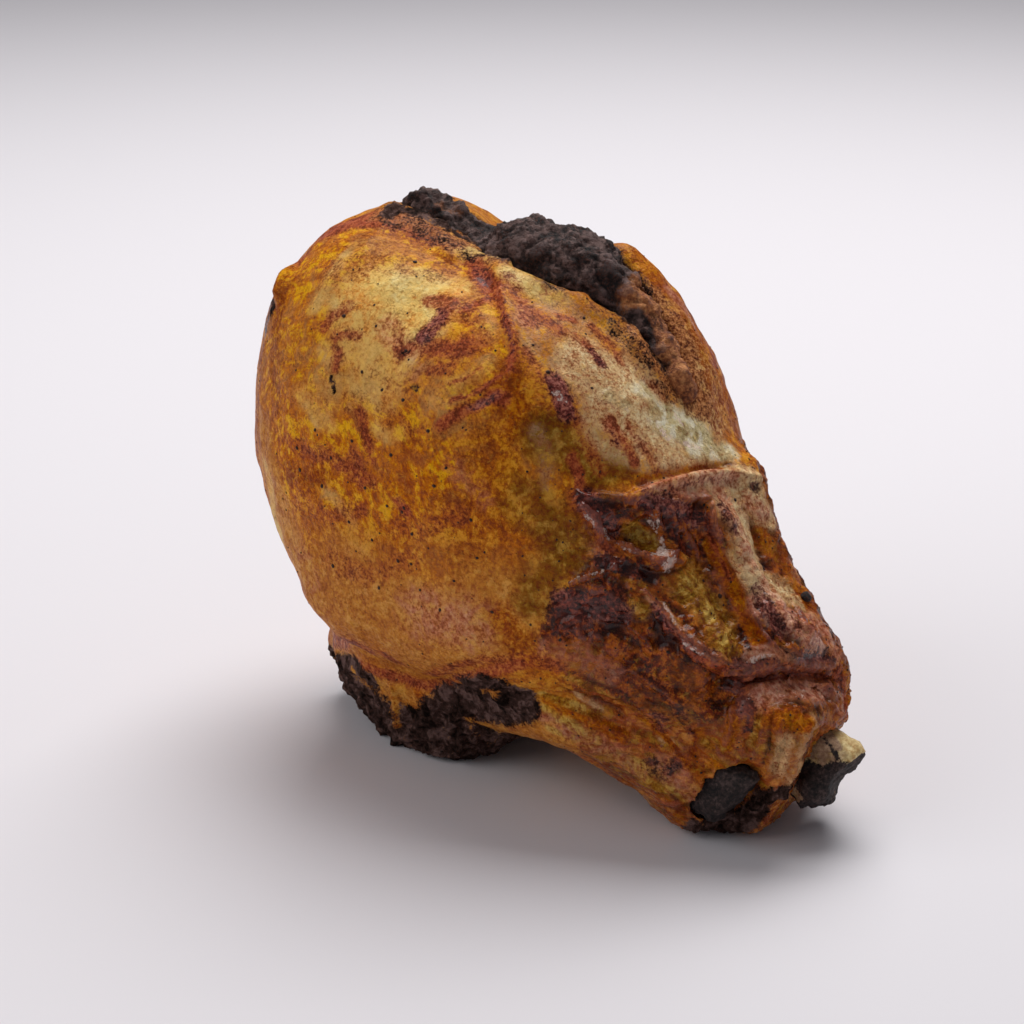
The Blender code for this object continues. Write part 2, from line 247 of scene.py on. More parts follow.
def through(path):
    """A smooth curve through a path's points: a cubic between each two, with even slopes."""
    ring = np.array(path, float)
    if len(ring) == 1:
        return ring
    ends = np.vstack([2 * ring[0] - ring[1], ring, 2 * ring[-1] - ring[-2]])
    before, here, after, beyond = ends[:-3], ends[1:-2], ends[2:-1], ends[3:]
    t = np.linspace(0, 1, STEPS_BETWEEN, endpoint=False)[:, None, None]
    curve = 0.5 * (
        2 * here
        + (after - before) * t
        + (2 * before - 5 * here + 4 * after - beyond) * t**2
        + (3 * here - before - 3 * after + beyond) * t**3
    )
    return np.vstack([curve.transpose(1, 0, 2).reshape(-1, ring.shape[1]), ring[-1:]])


def sight_line(x, y):
    """The direction in which the camera sees a position in the picture."""
    half = PICTURE_SIDE / 2
    slope = math.tan(LENS_ANGLE / 2) / half
    return camera.rotation_euler.to_matrix() @ Vector(((x - half) * slope, (half - y) * slope, -1))


def surface_of(piece):
    """The piece's surface, in a form that finds hits and nearest places fast."""
    corners = [point.co for point in piece.data.vertices]
    return BVHTree.FromPolygons(corners, [face.vertices for face in piece.data.polygons])


def seen(path, surface):
    """The places, in millimetres, where the camera sees a path.

    A path whose points have three numbers is a path of places already, and is only made smooth.
    """
    if len(path[0]) == 3:
        return through(path)
    hits = [surface.ray_cast(camera.location, sight_line(x, y))[0] for x, y in through(path)]
    return np.array([hit / MM for hit in hits if hit is not None]).reshape(-1, 3)


def near(points, line, reach):
    """Which points lie within reach of a line, and how far off each of them is."""
    if len(line) == 0:
        return np.array([], int), np.array([])
    inside = np.all((points > line.min(0) - reach) & (points < line.max(0) + reach), axis=1)
    some = np.flatnonzero(inside)
    gap = np.linalg.norm(points[some][:, None, :] - line[None, :, :], axis=2).min(1)
    return some[gap < reach], gap[gap < reach]


meat_surface = surface_of(meat)
stuffing_surface = surface_of(stuffing)
print("the camera meets the meat at", seen([(400, 400)], meat_surface).round(1))

# %% [markdown]
# ## Folds, rims and grooves
#
# Roasting shrinks the membrane over the ribs, so it stands up in thin folds, and the fat round the
# pocket curls into a lip. Each is a stroke that raises or lowers the surface along a path, most in the
# middle and less towards its sides, like a finger pressed along soft clay.

# %% Strokes that shape the meat
# Each stroke: its height and half width in millimetres, and its path in the picture.
FOLDS = {
    "near lip of the mouth": (
        0.9, 1.4,
        (
            (487, 257), (515, 272), (543, 286), (575, 296), (602, 301),
            (625, 313), (636, 335), (646, 362), (662, 388),
        ),
    ),
    "under the lip": (-0.5, 1.6, ((500, 283), (540, 303), (590, 318), (618, 335))),
    "seam on the fat": (0.8, 1.0, ((496, 266), (501, 292), (510, 325), (516, 352), (511, 380))),
    "groove by the seam": (-0.6, 1.1, ((488, 282), (498, 310), (506, 345), (502, 372))),
    "fold from the seam": (0.5, 0.9, ((500, 392), (480, 408), (455, 414), (438, 428))),
    "second fold from the seam": (0.4, 0.8, ((498, 404), (482, 420), (470, 436))),
    "far lip, out of the camera's sight": (
        2.4, 3.0,
        ((-8, 15, 103), (-5, 14.6, 105.5), (-2, 14.4, 107), (1, 15, 108), (4, 15.4, 108.5)),
    ),
    "back rim": (0.9, 3.0, ((686, 322), (700, 350), (714, 378))),
    "charred bump on the rim": (2.6, 2.8, ((288, 280), (284, 292))),
    "spur of foot A": (1.8, 2.6, ((337, 672), (340, 684))),
    "swirl": (0.4, 0.7, ((446, 405), (466, 399), (486, 389), (502, 374))),
    "swirl, inner": (0.35, 0.6, ((448, 388), (466, 384), (484, 372))),
    "swirl, outer": (0.35, 0.7, ((466, 420), (486, 411), (504, 398))),
    "groove in the swirl": (-0.35, 0.6, ((448, 396), (468, 391), (486, 380))),
    "groove in the swirl 2": (-0.35, 0.6, ((456, 412), (478, 405), (498, 390))),
    "gold blister": (1.0, 1.5, ((445, 254), (450, 256))),
    "blotch, raised": (0.4, 1.3, ((446, 310), (434, 326), (424, 338))),
    "spot, raised": (0.5, 1.0, ((556, 384), (563, 398), (568, 410))),
    "top fold of the membrane": (
        1.3, 1.0,
        ((632, 499), (648, 490), (668, 483), (697, 477), (730, 473), (757, 478)),
    ),
    "groove above the fold": (-0.9, 1.1, ((640, 484), (668, 474), (700, 468), (730, 462))),
    "second fold": (0.9, 0.6, ((628, 522), (650, 508), (680, 499), (708, 498))),
    "third fold": (0.8, 0.6, ((664, 500), (676, 520), (690, 542), (700, 560))),
    "upper crinkle": (0.9, 0.5, ((641, 498), (654, 508), (663, 525))),
    "second crinkle": (0.7, 0.45, ((648, 512), (656, 526), (660, 538))),
    "left crinkle": (0.8, 0.6, ((580, 505), (596, 520), (600, 540), (612, 548))),
    "left crinkle, lower": (0.6, 0.5, ((586, 540), (598, 552), (616, 560))),
    "left corner": (0.7, 0.6, ((574, 500), (590, 494), (610, 496), (628, 500))),
    "lower crinkle": (0.7, 0.5, ((571, 583), (588, 578), (606, 572), (625, 560))),
    "lower crinkle 2": (0.5, 0.5, ((566, 600), (584, 592), (604, 590))),
    "pit": (-0.9, 1.8, ((632, 532), (648, 542))),
    "rim of the pit": (1.3, 0.5, ((607, 537), (625, 548), (645, 557), (664, 561), (675, 553))),
    "under the rim": (-0.8, 0.9, ((612, 556), (636, 568), (664, 574), (686, 566))),
    "edge of the membrane": (
        1.5, 0.5,
        ((646, 594), (660, 606), (672, 624), (697, 645), (722, 660), (745, 664)),
    ),
    "below that edge": (-1.0, 1.0, ((650, 614), (664, 638), (688, 660), (712, 676))),
    "edge of the middle ridge": (
        1.6, 0.7,
        ((711, 505), (719, 540), (738, 578), (751, 608), (765, 636), (782, 656)),
    ),
    "fat on the rib, swollen": (1.5, 3.4, ((688, 582), (704, 608), (720, 636))),
    "trough, filled": (0.9, 2.2, ((712, 560), (726, 590), (740, 620))),
    "crease in that fat": (-0.6, 0.5, ((690, 600), (702, 612), (716, 618), (730, 628))),
    "crease in that fat 2": (-0.5, 0.4, ((684, 620), (700, 632), (716, 646))),
    "fold over that fat": (0.8, 0.5, ((676, 584), (694, 580), (712, 588))),
    "drawn fold": (1.0, 0.5, ((668, 590), (684, 596), (694, 608))),
    "drawn fold 2": (0.8, 0.5, ((600, 618), (622, 622), (640, 634), (654, 650))),
    "drawn fold 3": (0.8, 0.6, ((560, 640), (590, 650), (622, 668))),
    "rib under the cream": (0.8, 0.7, ((738, 566), (746, 584), (754, 604))),
    "crease right of the ridge": (-0.6, 0.7, ((752, 520), (758, 545), (764, 568), (774, 590))),
    "mauve bumps": (0.7, 0.7, ((770, 596), (778, 612), (792, 626))),
    "hem of the hood": (
        1.3, 0.8,
        ((726, 672), (748, 668), (770, 661), (786, 655), (804, 661), (831, 662)),
    ),
    "hood fold, near": (1.1, 0.6, ((764, 604), (770, 628), (784, 645), (800, 652))),
    "hood fold, far": (0.9, 0.6, ((792, 598), (802, 622), (815, 642))),
    "hood fold, low": (0.8, 0.5, ((754, 648), (772, 650), (790, 644))),
    "hood groove": (-0.9, 0.7, ((777, 618), (786, 634), (800, 642))),
    "recess, filled": (1.6, 2.2, ((734, 688), (744, 696), (746, 708))),
    "fold in the recess": (0.8, 0.5, ((730, 684), (742, 692), (746, 704), (742, 716))),
    "knuckle crease": (-0.7, 0.5, ((763, 692), (785, 685), (806, 689), (826, 699))),
    "knuckle, pushed up": (2.6, 2.2, ((758, 696), (774, 688), (796, 685), (822, 690))),
    "under the hem": (-1.5, 0.8, ((728, 681), (750, 682), (772, 677), (800, 673), (830, 678))),
    "knuckle crest": (1.1, 0.6, ((756, 698), (772, 686), (795, 682), (820, 688))),
    "hood, let down": (1.0, 1.6, ((748, 674), (770, 668), (792, 664), (816, 668), (836, 672))),
    "knuckle crease, low": (-0.5, 0.5, ((766, 706), (786, 700), (806, 704))),
    "fibre of the column": (0.8, 0.5, ((764, 716), (760, 738), (752, 758))),
    "fibre of the column 2": (-0.7, 0.5, ((772, 718), (768, 742), (762, 764))),
    "fibre of the column 3": (0.7, 0.45, ((782, 720), (778, 746), (770, 772))),
    "column edge": (0.7, 0.8, ((812, 722), (800, 750), (790, 780))),
    "column groove": (-0.6, 0.8, ((792, 722), (782, 750), (772, 775))),
    "scrap on the bar": (1.4, 1.0, ((734, 710), (731, 728), (726, 742))),
    "second scrap": (1.1, 1.1, ((702, 744), (716, 752), (730, 762))),
    "fat streak on the bar": (0.8, 0.8, ((548, 700), (575, 712), (600, 724), (628, 738))),
    "groove over the streak": (-0.6, 0.9, ((560, 688), (590, 698), (622, 712))),
    "low streak on the bar": (0.7, 0.7, ((622, 762), (640, 776), (660, 790))),
    "fold along the bar": (0.7, 0.9, ((560, 655), (600, 660), (640, 676), (676, 702))),
    "fold along the bar 2": (0.6, 0.8, ((600, 690), (640, 706), (672, 732), (690, 760))),
    "crease under the bulge": (-0.9, 1.4, ((398, 674), (412, 683), (435, 683), (462, 672), (490, 668))),
    "rind at the foot": (1.1, 1.2, ((393, 686), (396, 708), (398, 726))),
    "crease over the foot": (-0.6, 1.2, ((330, 655), (345, 656), (366, 655), (382, 668))),
}
CRUST_FOLDS = {
    "below the far rim": (-1.8, 3.4, ((596, 238), (618, 252), (640, 272), (655, 292))),
    "tail, filled": (0.9, 3.2, ((652, 338), (666, 358), (680, 378))),
    "tail's end, filled": (1.6, 2.4, ((676, 376), (688, 392), (692, 398))),
}
FOLD_REACH = 2.6      # how many half widths a stroke is felt over


def press(piece, surface, strokes):
    """Raises or lowers a piece's surface along each stroke."""
    for height, width, path in strokes.values():
        points = points_of(piece)
        some, gap = near(points, seen(path, surface), FOLD_REACH * width)
        rise = height * np.exp(-((gap / width) ** 2))
        points[some] += normals_of(piece)[some] * rise[:, None]
        set_points(piece, points)


unfolded, outward = points_of(meat), normals_of(meat)
press(stuffing, stuffing_surface, CRUST_FOLDS)
press(meat, meat_surface, FOLDS)
print(len(FOLDS), "strokes shape the meat and", len(CRUST_FOLDS), "the stuffing")

# %% [markdown]
# ## The same folds on the far side
#
# The membrane also wraps the side that the picture doesn't show, so it can't be smooth there. A seeded
# draw strews short folds over that end, each along a path that wanders on the surface. A seed gives the
# same folds at every run.

# %% Seeded folds out of the camera's sight
FAR_FOLDS = 44
FAR_FOLDS_SEED = 31
FAR_FOLD_HEIGHTS = (0.5, 1.2)
FAR_FOLD_WIDTHS = (0.5, 1.0)
FAR_FOLD_STRIDE = 3.4
FAR_FOLD_SIGNS = (-1, 1, 1)      # two ridges for each groove
HIDDEN_FACING = -0.35            # a face turned this far from the camera is out of sight
FAR_END_Y = 8.0
FAR_END_X = 22.0
FAR_END_TOP = 74.0
TURNS_IN_A_PATH = 6


def wandering(start, stride, draw):
    """A path of a few turns along the meat's surface."""
    path = start + np.cumsum(draw.normal(0.0, stride, (TURNS_IN_A_PATH, 3)), axis=0)
    return [tuple(meat_surface.find_nearest(Vector(stop) * MM)[0] / MM) for stop in path]


fold_draw = np.random.default_rng(FAR_FOLDS_SEED)
hidden = outward @ np.array(toward_camera) < HIDDEN_FACING
far_end = hidden & (unfolded[:, 1] > FAR_END_Y)
far_end &= (unfolded[:, 0] > FAR_END_X) & (unfolded[:, 2] < FAR_END_TOP)
far_folds = {}
for start in unfolded[fold_draw.choice(np.flatnonzero(far_end), FAR_FOLDS)]:
    height = fold_draw.choice(FAR_FOLD_SIGNS) * fold_draw.uniform(*FAR_FOLD_HEIGHTS)
    width = fold_draw.uniform(*FAR_FOLD_WIDTHS)
    far_folds[len(far_folds)] = (height, width, wandering(start, FAR_FOLD_STRIDE, fold_draw))
press(meat, meat_surface, far_folds)
print(len(far_folds), "more folds lie on the far end")

# %% [markdown]
# ## Where each finish lies
#
# Every finish gets a mask: a number from 0 to 1 at each point, kept with the mesh as an attribute that
# the material reads. A mask starts from a rule that holds all round the chop, such as "low and under
# the chine", so the unseen sides are finished too. Strokes placed by the picture are laid over it, and
# on the unseen sides a seeded draw scatters blotches of the same kind.

# %% Masks from rules and strokes
STROKE_EDGE = 1.35               # above 1, a stroke is full over part of its reach
BLOTCH_EDGE = 1.2
BLOTCH_SIZES = (0.3, 0.7)        # shares of the reach that a blotch is given
BLOTCH_STRENGTHS = (0.6, 1.0)
BLOTCH_STRIDE = 0.8
UNSEEN_FACING = -0.2

place = points_of(meat)
x, y, z = place.T


def laid(base, strokes, surface=meat_surface, points=place):
    """A mask with strokes laid over a base. Each stroke: reach in millimetres, strength, path."""
    mask = np.array(base, float) * np.ones(len(points))
    for reach, strength, path in strokes.values():
        some, gap = near(points, seen(path, surface), reach)
        mask[some] = np.maximum(mask[some], strength * smooth(STROKE_EDGE * (1 - gap / reach)))
    return mask


def scattered(mask, where, count, reach, strength, seed):
    """Lays blotches over a mask, on wandering paths that a seeded draw starts where it is allowed."""
    blotch_draw = np.random.default_rng(seed)
    for start in place[blotch_draw.choice(np.flatnonzero(where), count)]:
        size = reach * blotch_draw.uniform(*BLOTCH_SIZES)
        some, gap = near(place, through(wandering(start, size * BLOTCH_STRIDE, blotch_draw)), size)
        here = strength * blotch_draw.uniform(*BLOTCH_STRENGTHS)
        mask[some] = np.maximum(mask[some], here * smooth(BLOTCH_EDGE * (1 - gap / size)))


def weigh(mask, low, high):
    """A mask made steeper: 0 below low and 1 above high."""
    return smooth((mask - low) / (high - low))


away = outward @ np.array(toward_camera) < UNSEEN_FACING
print("the camera doesn't see a share of", round(float(away.mean()), 2), "of the surface")

# %% [markdown]
# ### Char
#
# What stood closest to the heat burnt black: the chine's feet, the stuffing with the lips of its
# pocket, and one spot on the rim. The char's own crags come later, in the same places.

# %% The char mask
UNSETTLED_GRAIN = 7.0
FEET_TOP = 17.0
FEET_TOP_WAVE = 5.0
FEET_END_X = 8.0
FEET_END_WAVE = 4.0
FEET_FADE = 9.0
FEET_CHAR = 0.9
MOUTH_LOW = 88.0
MOUTH_FADE = 6.0
LIP_WIDTH = 3.4
LIP_CHAR = 0.75
TAIL_START_X = 12.0
TAIL_FADE = 8.0
CHAR_SPOTS_ABOVE = 30.0
CHAR_SPOTS_BELOW = 90.0
LACUNARITY = 2.1      # how much finer each layer of the noise is than the one before

CHAR_MARKS = {
    "foot A": (5.0, 1.0, ((334, 676), (352, 690), (372, 712))),
    "foot A top": (4.2, 1.0, ((338, 664), (356, 668), (370, 680))),
    "foot B": (6.5, 1.0, ((420, 735), (440, 712), (462, 735))),
    "foot B ash": (7.0, 1.0, ((450, 700), (475, 706), (505, 708), (522, 706))),
    "foot B back": (4.5, 0.95, ((462, 686), (490, 684), (525, 692))),
    "rim spot": (3.0, 0.9, ((286, 263), (281, 273), (278, 285), (276, 297), (274, 310))),
    "left of the mouth": (3.4, 0.9, ((392, 205), (412, 203), (440, 213), (462, 224))),
    "specks left of the mouth": (5.5, 0.46, ((388, 222), (418, 226), (448, 240), (474, 254))),
    "specks by the tail": (4.0, 0.42, ((610, 322), (634, 346), (652, 370), (668, 392))),
    "near lip, left": (2.8, 0.85, ((386, 214), (406, 209), (436, 222), (466, 238))),
    "near lip, middle": (2.4, 0.8, ((470, 240), (488, 255), (506, 264))),
    "near lip, right": (2.0, 0.6, ((536, 281), (556, 291), (580, 295), (604, 306), (624, 320), (642, 336))),
    "over the near lip": (3.2, 1.0, ((470, 232), (500, 245), (530, 262), (556, 280))),
    "over the near lip 2": (2.4, 0.8, ((560, 286), (590, 292), (618, 306))),
    "tail": (3.0, 0.55, ((626, 298), (640, 322), (650, 345))),
    "tail end": (3.0, 0.6, ((652, 350), (668, 374), (686, 394))),
    "foot A, filled": (6.5, 1.0, ((345, 682), (362, 692), (378, 708))),
    "black spot": (1.1, 0.95, ((333, 378), (334, 390))),
    "black spot 2": (1.1, 0.75, ((414, 386), (416, 389))),
    "black spot 3": (0.9, 0.8, ((720, 596), (722, 598))),
    "dark core": (1.2, 0.6, ((404, 351), (408, 352))),
    "end of the bar": (3.8, 1.0, ((712, 818), (722, 806), (736, 788), (748, 772))),
    "right of the sawn end": (2.6, 0.7, ((734, 822), (748, 808), (758, 790))),
    "round the sawn end": (2.2, 0.52, ((700, 806), (706, 790), (718, 776), (734, 770), (748, 772))),
    "under the bar": (3.0, 0.95, ((690, 830), (706, 828), (730, 818))),
    "under the bar's end": (
        3.0, 1.0,
        ((694, 826), (702, 829), (716, 831), (734, 829), (750, 823), (762, 812)),
    ),
    "under the column": (3.4, 0.95, ((744, 816), (764, 800), (786, 792))),
    "beside the bone": (2.6, 0.95, ((796, 790), (806, 776), (808, 760))),
    # A painted shadow beside the ridge, in char colour.
    "ridge shadow": (1.0, 0.6, ((712, 516), (720, 535), (726, 552))),
}
CLEAR_MARKS = {
    "streak by the foot": (1.7, 0.9, ((394, 686), (396, 706), (398, 724))),
    "spot on foot A": (0.9, 0.8, ((352, 668), (354, 672))),
    "neck": (2.6, 0.8, ((365, 648), (388, 664), (405, 674))),
}
unsettled = np.array([noise.fractal(Vector(p) / UNSETTLED_GRAIN, 1.0, LACUNARITY, 3) for p in place])
low_enough = smooth((FEET_TOP + FEET_TOP_WAVE * unsettled - z) / FEET_FADE)
feet = low_enough * smooth((FEET_END_X + FEET_END_WAVE * unsettled - x) / FEET_FADE)
high = np.flatnonzero(z > MOUTH_LOW)
mouth = np.zeros(len(place))
mouth[high] = [LIP_WIDTH - stuffing_surface.find_nearest(Vector(p) * MM)[3] / MM for p in place[high]]
mouth = smooth(mouth / LIP_WIDTH) * smooth((z - MOUTH_LOW) / MOUTH_FADE)
tail_lip = mouth * smooth((x - TAIL_START_X) / TAIL_FADE)
char = laid(np.maximum(FEET_CHAR * feet, LIP_CHAR * (mouth - 0.9 * tail_lip)), CHAR_MARKS)
char *= 1 - laid(0.0, CLEAR_MARKS)
spotted = away & (z > CHAR_SPOTS_ABOVE) & (z < CHAR_SPOTS_BELOW)
scattered(char, spotted, count=24, reach=2.4, strength=0.75, seed=3)
print("char covers", round(float((char > 0.5).mean()) * 100, 1), "% of the points")

# %% [markdown]
# ### Browned skin
#
# Where meat juice dried on the skin it turned red-brown. The marks are the blotches, streaks and lines
# that catch the eye; the dots between them are left to the material's own speckle. A few marks in
# creases and recesses are painted shade.

# %% The browned mask, with painted shade in creases and recesses
BROWNED_AND_SHADE_MARKS = {
    "under the gold blister": (3.6, 0.9, ((430, 300), (452, 305))),
    "long blotch": (3.4, 1.0, ((446, 310), (436, 325), (424, 336))),
    "dark blotch": (2.6, 0.85, ((402, 352), (414, 346))),
    "broad blotch": (4.6, 0.78, ((425, 345), (448, 350), (470, 345))),
    "below it": (3.0, 0.65, ((430, 370), (452, 368))),
    "arc": (2.6, 0.8, ((350, 306), (336, 314), (324, 328))),
    "arc's spots": (2.2, 0.8, ((338, 336), (358, 335))),
    "over the black spot": (2.2, 0.85, ((340, 352), (335, 368))),
    "by the seam": (3.8, 0.95, ((474, 262), (482, 275), (490, 288))),
    "seam": (1.8, 1.0, ((497, 285), (503, 310), (513, 340), (512, 370))),
    "line from the seam": (1.8, 0.9, ((498, 292), (480, 302), (462, 311))),
    "arcs by the amber": (2.2, 0.9, ((500, 394), (480, 406), (462, 412), (440, 426))),
    "spot by the seam": (2.6, 0.95, ((492, 396), (504, 400))),
    "under the char": (5.5, 0.8, ((405, 222), (430, 234), (455, 242))),
    "upper": (7.0, 0.45, ((330, 272), (370, 264), (410, 266), (446, 272))),
    "beside the seam": (4.0, 0.6, ((462, 306), (476, 322), (484, 344))),
    "crest": (6.5, 1.0, ((330, 232), (360, 219), (392, 218))),
    "neck": (4.0, 0.8, ((334, 640), (350, 642), (368, 650))),
    "rim, upper left": (4.0, 0.75, ((300, 262), (318, 240), (335, 225))),
    "middle": (5.0, 0.42, ((350, 405), (385, 415), (420, 425))),
    "middle, right": (4.4, 0.2, ((430, 425), (445, 445), (470, 440))),
    "middle, left": (4.0, 0.6, ((290, 440), (310, 455), (330, 450))),
    "left of the blotches": (3.4, 0.6, ((398, 330), (404, 345))),
    "peppered band": (4.0, 0.55, ((300, 500), (330, 515), (360, 510))),
    "lower band": (5.0, 0.5, ((330, 560), (370, 575), (410, 560))),
    "middle, lower": (4.0, 0.65, ((355, 455), (362, 480))),
    "right of the middle": (4.0, 0.3, ((440, 455), (470, 462))),
    "lower right": (5.0, 0.5, ((430, 520), (460, 515), (400, 530))),
    # Partly painted shade, in the crease under the bulge.
    "crease under the bulge": (2.8, 0.85, ((352, 662), (392, 676), (430, 686), (470, 678), (520, 664))),
    "specks on the fat": (3.0, 0.7, ((534, 312), (548, 322), (560, 330))),
    "specks on the fat 2": (2.6, 0.65, ((524, 352), (534, 366), (540, 380))),
    "specks on the fat 3": (2.4, 0.7, ((592, 326), (604, 338), (616, 352))),
    "specks on the fat 4": (2.2, 0.6, ((640, 372), (652, 384), (662, 398))),
    "line to the centre": (2.0, 0.75, ((424, 338), (412, 346), (396, 350))),
    "low in the centre": (3.0, 0.35, ((372, 372), (388, 384), (404, 390))),
    "by the mouth": (4.0, 0.65, ((508, 278), (520, 300), (530, 322))),
    "under the membrane": (3.6, 0.6, ((496, 664), (530, 660), (560, 668))),
    "bar's underside": (3.0, 0.7, ((536, 746), (576, 754), (606, 768))),
    "by the foot": (3.2, 0.8, ((384, 655), (400, 664))),
    "over the foot": (3.0, 0.7, ((430, 676), (460, 668), (485, 662))),
    "streaks by the mauve spot": (2.2, 0.85, ((610, 420), (622, 438), (634, 462))),
    "streak to the fold": (2.0, 0.65, ((628, 424), (645, 450), (660, 476))),
    "specks under the spot": (3.0, 0.6, ((578, 420), (590, 450), (600, 470))),
    # The next four marks are painted shade: in the crease by the membrane, at the ridge's side, under the
    # hem and in the recess.
    "crease by the membrane": (2.0, 0.9, ((660, 612), (676, 636), (700, 656), (724, 668))),
    "side of the ridge": (1.6, 0.9, ((706, 520), (716, 548), (730, 580))),
    "under the hem": (1.8, 1.0, ((728, 678), (750, 682), (772, 678), (796, 674), (826, 678))),
    "recess": (2.4, 1.0, ((734, 686), (742, 696), (744, 712))),
    "dark cluster": (2.2, 0.7, ((697, 512), (708, 520), (718, 532))),
    "left membrane": (4.5, 0.8, ((582, 500), (600, 520), (606, 545))),
    "speck on the fat": (1.8, 0.8, ((560, 317), (572, 320))),
    "mauve spot": (3.0, 1.0, ((556, 385), (562, 400), (567, 410))),
    "red streaks": (2.6, 0.75, ((360, 412), (366, 435), (372, 460))),
    "red cluster": (2.6, 0.85, ((398, 502), (406, 512))),
    "red band": (3.0, 0.7, ((334, 462), (352, 472), (374, 482))),
    "swirl's dark line": (1.2, 0.9, ((452, 400), (470, 396), (488, 386), (500, 376))),
    "swirl's dark line 2": (1.0, 0.8, ((450, 384), (466, 378), (482, 368))),
    "swirl's dark line 3": (1.2, 0.9, ((476, 412), (490, 404), (504, 392))),
    "line to the black spot": (1.4, 0.7, ((336, 330), (334, 350), (334, 370))),
    "streak on the fat": (2.0, 0.75, ((577, 336), (587, 346), (600, 362))),
    "streak on the fat 2": (1.8, 0.7, ((608, 345), (622, 362))),
    "low on the fat": (2.4, 0.65, ((606, 425), (616, 438), (625, 450))),
    "low on the fat 2": (2.2, 0.85, ((572, 458), (578, 472), (580, 484))),
    "into the membrane": (2.2, 0.3, ((642, 455), (655, 470), (664, 484))),
    "hood's side": (3.4, 0.9, ((836, 672), (843, 690), (845, 710))),
    "rim of the back": (2.2, 0.8, ((690, 312), (705, 340), (715, 365))),
    "back tail": (2.2, 0.8, ((668, 352), (690, 380), (700, 394))),
    "top of the fold": (2.0, 0.2, ((680, 484), (705, 482), (722, 488))),
}
BROWNED_ALL_OVER = 0.24
BROWNED_TAIL = 0.5
BLOTCHES_ABOVE = 14.0
browned_and_shade = laid(BROWNED_ALL_OVER + BROWNED_TAIL * tail_lip, BROWNED_AND_SHADE_MARKS)
scattered(browned_and_shade, away & (z > BLOTCHES_ABOVE), count=70, reach=6.5, strength=0.85, seed=5)
print("browned blotches cover", round(float((browned_and_shade > 0.5).mean()) * 100, 1), "% of the points")

# %% [markdown]
# ### Skin, fat and membrane
#
# The golden skin covers the bulge, pale where fat shows through and orange-brown where it thins; two
# pale marks high on it are painted highlights. Beside the mouth lies bare, cream fat. Below it the shiny
# membrane wraps the rib end, mahogany, with yellow-green fat and pale pinkish folds showing in places.
# One mask each would do for a cartoon; a roast needs eighteen, because its colours overlap like glazes.

# %% Marks on the skin of the bulge
PALE_MARKS = {
    "cap": (9, 0.45, ((362, 252), (385, 250), (410, 262))),
    # The high spot and the glossy streak are painted highlights, in pale colour.
    "high spot": (6, 0.75, ((418, 284), (437, 284), (455, 288))),
    "glossy streak": (3.0, 1.0, ((420, 272), (440, 280), (462, 292))),
    "centre": (17, 1.0, ((374, 300), (398, 314), (416, 305))),
    "centre, lower": (11, 0.75, ((364, 345), (390, 362))),
    "left, lower": (8, 0.45, ((318, 384), (338, 394), (352, 382))),
    "low in the middle": (9, 0.6, ((362, 380), (386, 392))),
    "left of the spot": (5, 0.5, ((325, 350), (332, 358))),
    "right of the blotches": (5, 0.45, ((472, 300), (486, 330))),
    "by the mouth": (3.5, 0.9, ((505, 272), (530, 288), (560, 302))),
    "swirl": (4, 0.45, ((450, 385), (475, 378), (488, 362))),
    "lower": (6, 0.4, ((440, 400), (460, 390))),
    "left edge, low": (4, 0.75, ((266, 470), (274, 510), (284, 545), (296, 575))),
    "yellow patch, left": (4, 0.6, ((300, 392), (310, 404), (318, 418), (330, 424))),
    "yellow patch, middle": (3.2, 0.55, ((376, 428), (388, 436), (402, 432))),
    "yellow patch, low": (3, 0.45, ((326, 492), (340, 504), (352, 522))),
    "upper left band": (4, 0.6, ((346, 256), (330, 280), (316, 306))),
}
GOLD_MARKS = {
    "left band": (17, 1.0, ((312, 258), (292, 305), (282, 355), (282, 410), (292, 455))),
    "inner band": (9, 0.8, ((340, 262), (322, 300), (312, 345), (312, 395))),
    "over the pale": (12, 0.9, ((360, 240), (400, 250), (440, 262))),
    "right of the pale": (8, 0.8, ((462, 300), (484, 330), (492, 356))),
    "middle": (12, 0.9, ((330, 420), (370, 435), (420, 450))),
    "swirl": (6, 0.9, ((380, 398), (410, 402), (440, 410))),
    "lower middle": (14, 0.7, ((340, 490), (400, 490))),
    "under the char": (4, 0.7, ((345, 240), (360, 236))),
    "right of the middle": (7, 0.8, ((400, 470), (430, 480), (450, 470))),
    "swirl by the amber": (3, 0.9, ((450, 392), (470, 388), (486, 376))),
}
TAN_MARKS = {
    "lower bulge": (20, 0.95, ((350, 590), (400, 620), (450, 640), (490, 615))),
    "lower left": (8, 0.9, ((262, 430), (275, 490), (300, 560), (325, 610))),
    "middle right": (10, 0.5, ((430, 560), (480, 570))),
}
AMBER_MARKS = {
    "below the crest": (6.0, 0.4, ((346, 242), (400, 238), (450, 252), (476, 266))),
    "middle of the bulge": (5.0, 0.35, ((410, 436), (424, 446), (440, 440))),
    "left of the middle": (4.0, 0.6, ((288, 470), (306, 480), (326, 476))),
    "left edge": (3.4, 0.8, ((266, 330), (260, 370), (257, 410), (260, 440))),
    "upper left edge": (3.4, 0.8, ((300, 258), (290, 280), (278, 320))),
    "by the seam": (6.5, 0.85, ((512, 368), (508, 395), (525, 425))),
    "under it": (10, 0.5, ((500, 430), (480, 480), (500, 510))),
    "right": (8, 0.8, ((545, 430), (580, 425))),
    "further down": (8, 0.5, ((450, 500), (470, 540))),
    "beside the membrane": (6, 0.8, ((500, 622), (516, 640), (530, 656))),
    "rim, left": (4.0, 0.8, ((268, 318), (262, 350), (258, 385))),
    "red in the left": (5.0, 0.6, ((290, 270), (280, 310), (274, 350), (276, 400))),
}
